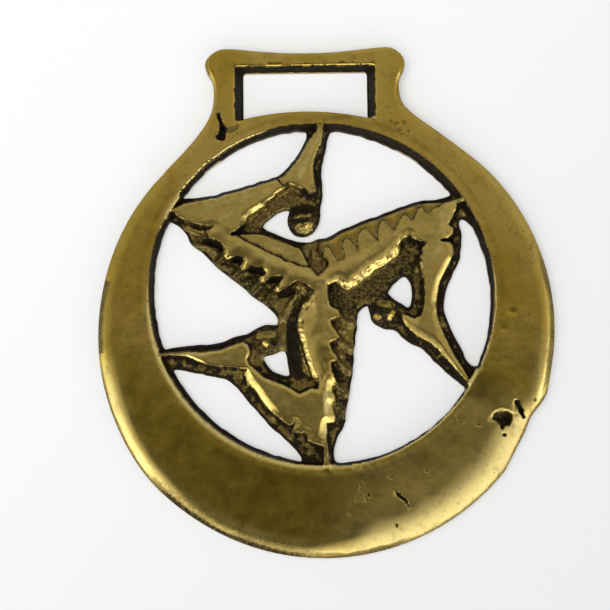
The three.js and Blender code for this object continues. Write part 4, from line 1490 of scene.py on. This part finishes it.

# Low ridges along the thighs, then stains, partly painted shade by edges and teeth, and rubbed places,
# partly painted highlights: path, width, depth, kind, raggedness, soot and shade.
SURFACE = (
    Stroke(((-8.5, 5.6), (-4.5, 3.6), (-1.5, 2.6)), 1.8, -0.06, Cut.RIDGE, 0.1, -1.0),
    Stroke(((-14.5, 9.4), (-11.5, 7.8), (-8.5, 5.6)), 1.6, -0.05, Cut.RIDGE, 0.1, -1.0),
    Stroke(((-0.4, 2.4), (-0.8, -3.0), (-0.6, -8.0)), 1.6, -0.06, Cut.RIDGE, 0.1, -1.0),
    Stroke(((0.6, 3.2), (4.5, 4.6), (8.5, 6.6), (12.0, 9.6)), 1.6, -0.05, Cut.RIDGE, 0.1, -1.0),
    # Stains, partly painted shade along the legs' edges and by the crack.
    Stroke(((-23.8, 15.3), (-21.5, 14.2), (-19.5, 13.4)), 1.5, 0.0, Cut.STAIN, 0.3, 0.3),
    Stroke(((-21.0, 15.5), (-18.5, 14.6)), 1.2, 0.0, Cut.STAIN, 0.5, 0.14),
    Stroke(((-14.6, 12.6), (-13.6, 12.0)), 1.5, 0.0, Cut.STAIN, 0.3, 0.2),
    Stroke(((-13.5, 10.6), (-9.0, 7.7), (-4.0, 5.3)), 0.5, 0.0, Cut.STAIN, 0.2, 0.2),
    # Rubbed places, painted highlights along the rib of the upper leg.
    Stroke(((-11.5, 8.0), (-7.0, 5.6), (-2.5, 3.6)), 1.3, 0.65, Cut.RUB, 0.2, 0.0),
    Stroke(((-8.0, 8.6), (-5.0, 7.2)), 0.8, 0.7, Cut.RUB, 0.2, 0.0),
    # Stains, partly painted shade by the teeth and at the hub.
    Stroke(((-7.4, -19.4), (-5.0, -21.0), (-3.2, -22.6)), 1.5, 0.0, Cut.STAIN, 0.4, 0.5),
    Stroke(((-2.6, -23.8), (-1.2, -24.6), (-0.9, -27.5)), 0.9, 0.0, Cut.STAIN, 0.3, 0.55),
    Stroke(((-5.2, 8.6), (-3.4, 7.6), (-2.6, 5.6)), 0.9, 0.0, Cut.STAIN, 0.2, 0.28),
    Stroke(((1.8, 7.4), (2.6, 5.4)), 0.8, 0.0, Cut.STAIN, 0.2, 0.35),
    Stroke(((4.4, 9.0), (5.4, 7.6), (6.2, 6.9)), 0.9, 0.0, Cut.STAIN, 0.2, 0.35),
    Stroke(((7.6, 10.6), (8.8, 8.8), (9.6, 8.0)), 0.9, 0.0, Cut.STAIN, 0.2, 0.35),
    Stroke(((10.6, 11.8), (11.8, 10.2)), 0.9, 0.0, Cut.STAIN, 0.2, 0.33),
    Stroke(((14.0, 12.6), (14.9, 11.5)), 0.8, 0.0, Cut.STAIN, 0.2, 0.3),
    Stroke(((17.0, 13.9), (18.0, 12.8)), 0.8, 0.0, Cut.STAIN, 0.2, 0.3),
    Stroke(((13.5, 10.8), (16.0, 10.4)), 1.2, 0.0, Cut.STAIN, 0.4, 0.16),
    Stroke(((19.2, 8.6), (17.4, 9.0)), 0.8, 0.0, Cut.STAIN, 0.2, 0.3),
    Stroke(((17.2, 6.5), (17.4, 2.0), (17.3, -2.5)), 0.8, 0.0, Cut.STAIN, 0.2, 0.22),
    Stroke(((15.0, -5.4), (17.0, -6.0)), 1.2, 0.0, Cut.STAIN, 0.3, 0.2),
    Stroke(((-0.6, 17.6), (-1.2, 18.6)), 0.7, 0.0, Cut.STAIN, 0.2, 0.35),
    Stroke(((-6.5, -19.2), (-4.9, -20.8)), 1.5, 0.0, Cut.STAIN, 0.4, 0.28),
    Stroke(((-3.5, -22.5), (-1.6, -24.0)), 0.9, 0.0, Cut.STAIN, 0.3, 0.4),
    Stroke(((-12.6, -9.0), (-14.0, -8.0)), 0.8, 0.0, Cut.STAIN, 0.3, 0.3),
    Stroke(((-24.8, -8.3), (-27.5, -8.4)), 0.8, 0.0, Cut.STAIN, 0.3, 0.4),
    Stroke(((0.9, 28.6), (0.8, 27.2)), 0.7, 0.0, Cut.STAIN, 0.2, 0.35),
    Stroke(((-2.6, -1.8), (-1.6, -0.4)), 1.0, 0.0, Cut.STAIN, 0.2, 0.2),
    # Rubbed places, partly painted highlights on the knees, feet and shins.
    Stroke(((-18.5, 16.5), (-14.0, 17.0), (-9.0, 17.8)), 1.6, 0.65, Cut.RUB, 0.4, 0.0),
    Stroke(((-16.5, 13.8), (-13.6, 14.6)), 1.3, 0.6, Cut.RUB, 0.4, 0.0),
    Stroke(((-3.0, 20.4), (-1.0, 24.5), (0.6, 27.0)), 1.0, 0.8, Cut.RUB, 0.2, 0.0),
    Stroke(((20.0, 12.6), (20.0, 10.0), (19.0, 6.5)), 1.7, 0.75, Cut.RUB, 0.3, 0.0),
    Stroke(((14.2, -5.0), (17.6, -8.4), (21.0, -12.6)), 1.4, 0.6, Cut.RUB, 0.2, 0.0),
    Stroke(((-16.0, -9.6), (-20.0, -9.2), (-24.0, -8.6)), 0.9, 0.7, Cut.RUB, 0.2, 0.0),
    Stroke(((-11.0, -13.6), (-8.0, -16.4), (-5.0, -18.4)), 1.8, 0.6, Cut.RUB, 0.4, 0.0),
    Stroke(((-0.6, -16.0), (-0.8, -21.0), (-1.2, -24.5)), 0.9, 0.9, Cut.RUB, 0.2, 0.0),
)

# The low web's brighter ground, dark channels, lumps and pockets, and the thin cracks in the legs.
CARVING = (
    Stroke(((-11.5, 13.2), (-9.0, 14.6), (-6.5, 16.2), (-4.6, 16.8)), 1.5, 0.0, Cut.SWELL, 0.3, 0.68),
    Stroke(((3.2, 0.4), (6.0, 1.0), (9.0, 3.0), (12.6, 5.6)), 1.9, 0.0, Cut.SWELL, 0.3, 0.76),
    Stroke(((2.0, 0.8), (2.2, -0.8), (3.6, -2.6)), 1.2, 0.0, Cut.SWELL, 0.3, 0.78),
    Stroke(((-1.3, 8.0), (-0.9, 6.0), (-0.9, 4.6)), 1.6, -0.35, Cut.SWELL, 0.2, 0.6),
    Stroke(((-6.2, -0.6), (-4.6, 0.8), (-3.6, 1.4)), 1.6, 0.0, Cut.SWELL, 0.3, 0.6),
    Stroke(((-6.8, -4.5), (-6.9, -7.5), (-11.5, -9.5)), 1.3, 0.0, Cut.SWELL, 0.3, 0.62),
    Stroke(((-3.2, -14.3), (-5.5, -14.6)), 0.7, 0.0, Cut.SWELL, 0.2, 0.6),
    Stroke(((-5.3, -3.0), (-5.7, -8.0), (-4.9, -12.6)), 0.9, 0.35, Cut.GROOVE, 0.05, 0.95),
    Stroke(((-2.6, 0.6), (-4.2, -0.8), (-5.3, -3.0)), 0.8, 0.3, Cut.GROOVE, 0.05, 0.85),
    Stroke(((-4.4, 1.9), (-4.7, 0.4), (-6.2, -1.4), (-7.0, -3.4)), 0.7, -0.55, Cut.SWELL, 0.05, 0.62),
    Stroke(((-3.9, 2.1), (-3.0, 1.2)), 0.8, -0.8, Cut.SWELL, 0.05, 0.6),
    Stroke(((-22.3, 12.9), (-20.2, 11.9), (-19.0, 12.0)), 0.6, -0.9, Cut.SWELL, 0.02, 0.6),
    Stroke(((-18.9, 11.7), (-20.4, 10.7)), 0.4, -0.9, Cut.SWELL, 0.02, 0.6),
    Stroke(((-15.9, 8.4), (-16.5, 7.4), (-17.6, 6.5)), 0.7, -1.0, Cut.SWELL, 0.03, 0.74),
    Stroke(((-12.9, 6.4), (-13.8, 5.1), (-14.9, 4.1), (-15.2, 3.2)), 0.75, -1.0, Cut.SWELL, 0.03, 0.74),
    Stroke(((-10.4, 3.4), (-11.4, 2.2), (-12.4, 1.3)), 0.75, -1.0, Cut.SWELL, 0.03, 0.74),
    Stroke(((-8.0, 1.8), (-9.2, 0.4), (-9.8, -1.0)), 0.7, -0.9, Cut.SWELL, 0.03, 0.76),
    Stroke(((-20.6, 9.7), (-18.5, 9.2), (-17.4, 8.2)), 0.7, -0.5, Cut.SWELL, 0.03, 0.7),
    Stroke(((-16.8, 6.0), (-15.0, 5.6)), 0.7, -0.45, Cut.SWELL, 0.03, 0.75),
    Stroke(((-13.4, 3.0), (-12.0, 3.4)), 0.7, -0.45, Cut.SWELL, 0.03, 0.78),
    Stroke(((-10.6, 0.6), (-9.6, 1.4)), 0.7, -0.4, Cut.SWELL, 0.03, 0.78),
    Stroke(((-19.4, 10.4), (-17.0, 9.3), (-16.1, 8.4)), 0.35, 0.35, Cut.GROOVE, 0.02, 0.97),
    Stroke(((-15.2, 6.9), (-13.4, 6.8)), 0.4, 0.4, Cut.PIT, 0.02, 0.95),
    Stroke(((-12.0, 5.0), (-10.2, 4.9), (-9.8, 4.3)), 0.4, 0.4, Cut.PIT, 0.02, 0.97),
    Stroke(((-8.5, 3.2), (-7.2, 3.3)), 0.45, 0.5, Cut.PIT, 0.02, 1.0),
    Stroke(((-7.2, 0.7), (-5.2, 1.1)), 0.5, 0.3, Cut.PIT, 0.02, 0.95),
    Stroke(
        (
            (-14.0, 11.0), (-13.2, 10.4), (-12.0, 9.6), (-10.5, 8.8),
            (-9.2, 8.0), (-8.0, 7.3), (-6.7, 6.9),
        ),
        0.16, 0.12, Cut.GROOVE, 0.06, 1.0,
    ),
    Stroke(
        ((-7.0, 7.0), (-6.0, 6.2), (-4.4, 5.6), (-3.4, 5.1), (-2.2, 5.0)),
        0.13, 0.1, Cut.GROOVE, 0.05, 1.0,
    ),
    Stroke(((-6.9, 20.0), (-6.2, 19.1), (-5.8, 18.7)), 0.15, 0.12, Cut.GROOVE, 0.03, 0.95),
    Stroke(((-14.6, 11.15), (-13.4, 11.2)), 0.35, 0.5, Cut.PIT, 0.02, 1.0),
    Stroke(((19.8, 8.35), (21.6, 8.5)), 0.25, 0.5, Cut.PIT, 0.03, 1.0),
    Stroke(((-5.7, 1.75), (-4.3, 2.75), (-2.8, 1.85), (-1.8, 1.05)), 0.14, 0.1, Cut.GROOVE, 0.02, 0.95),
    Stroke(((2.6, -3.8), (3.4, -4.3), (4.2, -4.6)), 0.9, -0.55, Cut.SWELL, 0.03, 0.66),
    Stroke(((1.4, -5.4), (2.8, -5.9)), 0.7, -0.4, Cut.SWELL, 0.03, 0.66),
    Stroke(((2.2, -7.6), (3.2, -8.2), (3.9, -8.8)), 0.9, -0.55, Cut.SWELL, 0.03, 0.66),
    Stroke(((1.3, -9.3), (2.4, -9.8)), 0.6, -0.4, Cut.SWELL, 0.03, 0.66),
    Stroke(((1.8, -11.1), (2.7, -11.7), (3.4, -12.5)), 0.8, -0.55, Cut.SWELL, 0.03, 0.66),
    Stroke(((1.3, -14.8), (2.1, -15.3), (2.9, -16.2)), 0.75, -0.5, Cut.SWELL, 0.03, 0.7),
    Stroke(((0.9, -17.8), (1.7, -18.4), (2.4, -19.6)), 0.7, -0.45, Cut.SWELL, 0.03, 0.74),
)

# The smooth step above the teeth of the right leg.
SHELF = (
    (-0.4, 9.4), (2.8, 10.4), (5.4, 11.3), (8.0, 12.3), (11.0, 13.1),
    (13.6, 14.0), (16.0, 14.8), (18.6, 14.8), (20.8, 14.9),
    (20.0, 13.8), (18.0, 12.6), (16.5, 12.0), (15.0, 11.4), (12.0, 9.9),
    (9.3, 8.3), (6.0, 6.9), (2.4, 5.3), (1.0, 6.6), (-0.6, 7.6),
)

# The border's flaws: pits and the crack by the loop, dents, scratches, the big pit and the gouges, with
# painted highlights on the rims of two pits and on a nub.
FLAWS = (
    Stroke(((12.3, 28.8), (12.5, 28.7)), 0.22, 0.03, Cut.PIT, 0.12, 0.4),
    Stroke(((13.2, 28.2), (13.5, 28.3)), 0.26, 0.03, Cut.PIT, 0.15, 0.45),
    Stroke(((14.6, 28.4), (14.7, 28.2)), 0.2, 0.03, Cut.PIT, 0.12, 0.4),
    Stroke(((13.6, 27.3), (14.2, 27.2)), 0.22, 0.03, Cut.PIT, 0.15, 0.4),
    Stroke(((15.2, 27.0), (15.5, 26.8)), 0.24, 0.03, Cut.PIT, 0.12, 0.4),
    Stroke(((-16.2, 31.4), (-15.9, 30.4), (-15.6, 29.4), (-15.5, 28.8)), 0.33, 0.7, Cut.GROOVE, 0.08, 1.0),
    Stroke(((-15.5, 29.0), (-15.6, 28.4), (-16.0, 27.6)), 0.62, 0.9, Cut.PIT, 0.14, 1.0),
    Stroke(((-14.6, 28.4), (-13.6, 28.7), (-13.0, 29.1)), 0.25, 0.15, Cut.PIT, 0.12, 0.6),
    Stroke(((30.3, -4.3), (30.8, -4.2)), 0.45, 0.1, Cut.PIT, 0.1, -1.0),
    Stroke(((30.4, -5.2), (30.7, -5.2)), 0.2, 0.04, Cut.PIT, 0.1, 0.4),
    Stroke(((28.8, -7.0), (29.2, -6.8)), 0.35, 0.08, Cut.PIT, 0.1, -1.0),
    Stroke(((30.1, -17.4), (30.8, -16.3)), 0.13, 0.05, Cut.GROOVE, 0.04, 0.4),
    Stroke(((35.0, 7.4), (34.4, 6.8), (34.3, 6.2)), 0.14, 0.05, Cut.GROOVE, 0.06, 0.45),
    Stroke(((33.4, -18.6), (33.5, -18.7)), 0.14, 0.06, Cut.PIT, 0.05, 0.7),
    # Painted highlight: the big pit's upper rim is raised and painted pale.
    Stroke(
        ((26.1, -21.4), (27.0, -20.5), (28.0, -20.2), (29.2, -20.7), (30.2, -21.1)),
        0.55, 0.16, Cut.RIDGE, 0.1, 0.0,
    ),
    Stroke(((26.1, -21.2), (27.1, -20.3), (28.0, -20.0), (29.2, -20.4)), 0.5, 1.0, Cut.RUB, 0.1, 0.0),
    Stroke(((27.4, -21.4), (28.0, -21.3), (28.7, -21.4)), 0.85, 0.55, Cut.PIT, 0.2, 0.85),
    Stroke(((28.2, -21.7), (28.3, -22.0)), 0.75, 0.5, Cut.PIT, 0.2, 0.9),
    Stroke(((28.8, -21.2), (29.4, -21.1)), 0.25, 0.3, Cut.PIT, 0.1, 0.9),
    Stroke(((26.7, -21.5), (27.5, -21.5)), 0.3, 0.3, Cut.PIT, 0.1, 0.9),
    Stroke(((28.1, -22.4), (27.9, -23.1)), 0.28, 0.4, Cut.PIT, 0.14, 0.95),
    Stroke(((28.1, -24.15), (28.15, -24.2)), 0.2, 0.3, Cut.PIT, 0.06, 0.95),
    # Painted highlight on the rim of the pit beside it.
    Stroke(((30.3, -18.6), (30.1, -19.3), (30.2, -20.0)), 0.35, 0.12, Cut.RIDGE, 0.05, 0.0),
    Stroke(((30.3, -18.5), (30.0, -19.4)), 0.35, 1.0, Cut.RUB, 0.05, 0.0),
    Stroke(((30.5, -18.9), (30.8, -19.7), (31.1, -20.4)), 0.4, 0.6, Cut.PIT, 0.06, 1.0),
    Stroke(((31.0, -20.2), (31.5, -21.4)), 0.27, 0.5, Cut.PIT, 0.05, 1.0),
    Stroke(((21.0, -20.5), (21.5, -20.9), (21.4, -21.5), (21.3, -22.0)), 0.13, 0.06, Cut.GROOVE, 0.08, 0.6),
    Stroke(((20.7, -20.9), (21.0, -21.5)), 0.12, 0.06, Cut.GROOVE, 0.06, 0.5),
    Stroke(((19.7, -22.3), (20.2, -22.0)), 0.12, 0.06, Cut.GROOVE, 0.06, 0.5),
    Stroke(((23.9, -22.3), (24.3, -22.35)), 0.14, 0.1, Cut.PIT, 0.05, 0.75),
    Stroke(((19.1, -27.5), (19.2, -27.7)), 0.2, 0.15, Cut.PIT, 0.05, 0.85),
    # Painted highlight on the nub.
    Stroke(((9.85, -32.4), (9.85, -33.0)), 0.3, 0.08, Cut.RIDGE, 0.05, 0.0),
    Stroke(((9.85, -32.4), (9.85, -33.0)), 0.35, 1.0, Cut.RUB, 0.05, 0.0),
    Stroke(((10.15, -32.6), (10.5, -33.1), (11.0, -33.7)), 0.34, 0.5, Cut.PIT, 0.1, 1.0),
    Stroke(((10.8, -33.4), (11.4, -34.0), (11.7, -34.4)), 0.24, 0.3, Cut.PIT, 0.06, 1.0),
    Stroke(((11.5, -34.2), (11.95, -34.9), (12.2, -35.7)), 0.15, 0.2, Cut.GROOVE, 0.05, 0.8),
    Stroke(
        ((4.2, -30.8), (4.6, -30.9), (4.5, -31.4), (4.3, -31.8), (4.6, -32.2)),
        0.18, 0.12, Cut.GROOVE, 0.08, 0.75,
    ),
    Stroke(((4.6, -32.2), (5.0, -32.7), (5.1, -33.3), (5.4, -33.8)), 0.15, 0.1, Cut.GROOVE, 0.06, 0.65),
    Stroke(((5.5, -32.6), (5.65, -33.0)), 0.2, 0.12, Cut.PIT, 0.06, 0.85),
    Stroke(((5.1, -30.6), (5.4, -30.8)), 0.11, 0.06, Cut.GROOVE, 0.04, 0.5),
    Stroke(((4.2, -32.4), (4.2, -33.0)), 0.12, 0.08, Cut.GROOVE, 0.04, 0.6),
    Stroke(((3.5, -33.0), (3.8, -33.8)), 0.13, 0.08, Cut.GROOVE, 0.06, 0.6),
    Stroke(((8.9, -29.8), (9.4, -30.2), (9.9, -30.4)), 0.12, 0.08, Cut.GROOVE, 0.04, 0.7),
    Stroke(((15.0, -29.3), (15.35, -29.45)), 0.15, 0.1, Cut.PIT, 0.05, 0.75),
    Stroke(((14.8, -31.5), (14.9, -31.6)), 0.14, 0.05, Cut.PIT, 0.05, 0.5),
    Stroke(((2.2, -35.5), (2.45, -35.5)), 0.2, 0.04, Cut.PIT, 0.08, 0.4),
    Stroke(((8.8, -35.4), (8.9, -35.4)), 0.14, 0.04, Cut.PIT, 0.05, 0.4),
    Stroke(((9.85, -37.8), (9.9, -38.0)), 0.2, 0.12, Cut.PIT, 0.05, 0.8),
)

# The three round spurs, with the lumps, grooves and the pit on them.
SPUR_KNOBS = (
    Stroke(((-2.9, 12.9), (-2.95, 12.85)), 2.5, -1.2, Cut.SWELL, 0.06, 0.82),
    Stroke(((-3.6, 11.6), (-2.0, 11.4)), 0.6, -0.2, Cut.SWELL, 0.06, 0.5),
    Stroke(((-4.4, 14.4), (-1.6, 14.9)), 0.7, 0.1, Cut.GROOVE, 0.06, 1.0),
    Stroke(((9.7, -2.9), (9.75, -2.85)), 2.4, -1.2, Cut.SWELL, 0.06, 0.86),
    Stroke(((-9.9, -6.8), (-9.95, -6.75)), 2.3, -1.1, Cut.SWELL, 0.06, 0.8),
    Stroke(((-3.9, 13.6), (-2.0, 13.9)), 0.35, -0.15, Cut.SWELL, 0.02, 0.35),
    Stroke(((-2.3, 12.1), (-1.7, 12.2)), 0.35, -0.2, Cut.SWELL, 0.02, 0.2),
    Stroke(((-4.6, 12.9), (-2.2, 13.0)), 0.3, 0.25, Cut.GROOVE, 0.04, 0.95),
    Stroke(((8.2, -2.6), (9.2, -2.9)), 0.28, 0.25, Cut.GROOVE, 0.04, 0.9),
    Stroke(((8.3, -3.6), (8.8, -3.8)), 0.3, -0.2, Cut.SWELL, 0.02, 0.1),
    Stroke(((11.2, -3.1), (10.6, -4.0)), 0.3, -0.2, Cut.SWELL, 0.02, 0.1),
    Stroke(((9.2, -1.5), (11.0, -1.9)), 0.5, -0.1, Cut.SWELL, 0.02, 0.35),
    Stroke(((-11.0, -5.9), (-8.8, -5.8)), 0.5, -0.1, Cut.SWELL, 0.02, 0.35),
    Stroke(((-10.2, -7.2), (-9.9, -7.5)), 0.25, -0.15, Cut.SWELL, 0.02, 0.1),
    Stroke(((-8.8, -7.0), (-8.6, -7.4)), 0.3, 0.3, Cut.PIT, 0.02, 0.95),
)

# Small moves of the outline: the place, how far round it they reach, and the shift.
PUSHES = (
    Push((-17.0, 42.6), 2.5, (0.15, -0.3)),
    Push((-18.6, 40.6), 2.0, (-0.25, 0.0)),
    Push((14.8, 41.4), 2.5, (-0.25, -0.2)),
    Push((14.8, 32.6), 3.0, (0.3, 0.15)),
    Push((24.0, 24.5), 5.0, (-0.15, -0.15)),
    Push((-37.4, 3.0), 12.0, (0.22, 0.0)),
    Push((-30.8, -28.3), 8.0, (-0.22, -0.2)),
    Push((35.5, -18.1), 2.5, (0.25, -0.1)),
    Push((33.2, -21.6), 2.0, (-0.3, 0.1)),
)


def main() -> None:
    """Builds the brass, the table, the light and the camera."""
    logging.basicConfig(level=logging.INFO)
    Stance().build()
    solid = Solid()
    plan = Plan()
    outlines = Outlines(plan, PUSHES)
    loops = [outlines.worn(loop, 20 + k) for k, loop in enumerate(solid.outlines())]
    relief = Relief(plan)
    relief.carve(solid, outlines.mask(loops))
    legs = (UPPER_LEG, RIGHT_LEG, LOWER_LEG)
    relief.set_figure(legs, GENTLE_SLOPES, WORN_EDGES, SHELF)
    relief.strike(SURFACE + CARVING + SPUR_KNOBS + FLAWS)
    relief.finish()
    crests = [outlines.spaced(np.array(leg), 0.17) for leg in legs]
    casting = Casting(relief, outlines, loops, crests)
    piece = casting.build("brass")
    casting.dress(piece, BrassFinish())
    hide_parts(solid.node)
    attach(piece, "root")
    studio = Studio()
    studio.build_table()
    studio.build_room()
    studio.build_overhead()


if __name__ == "__main__":
    main()
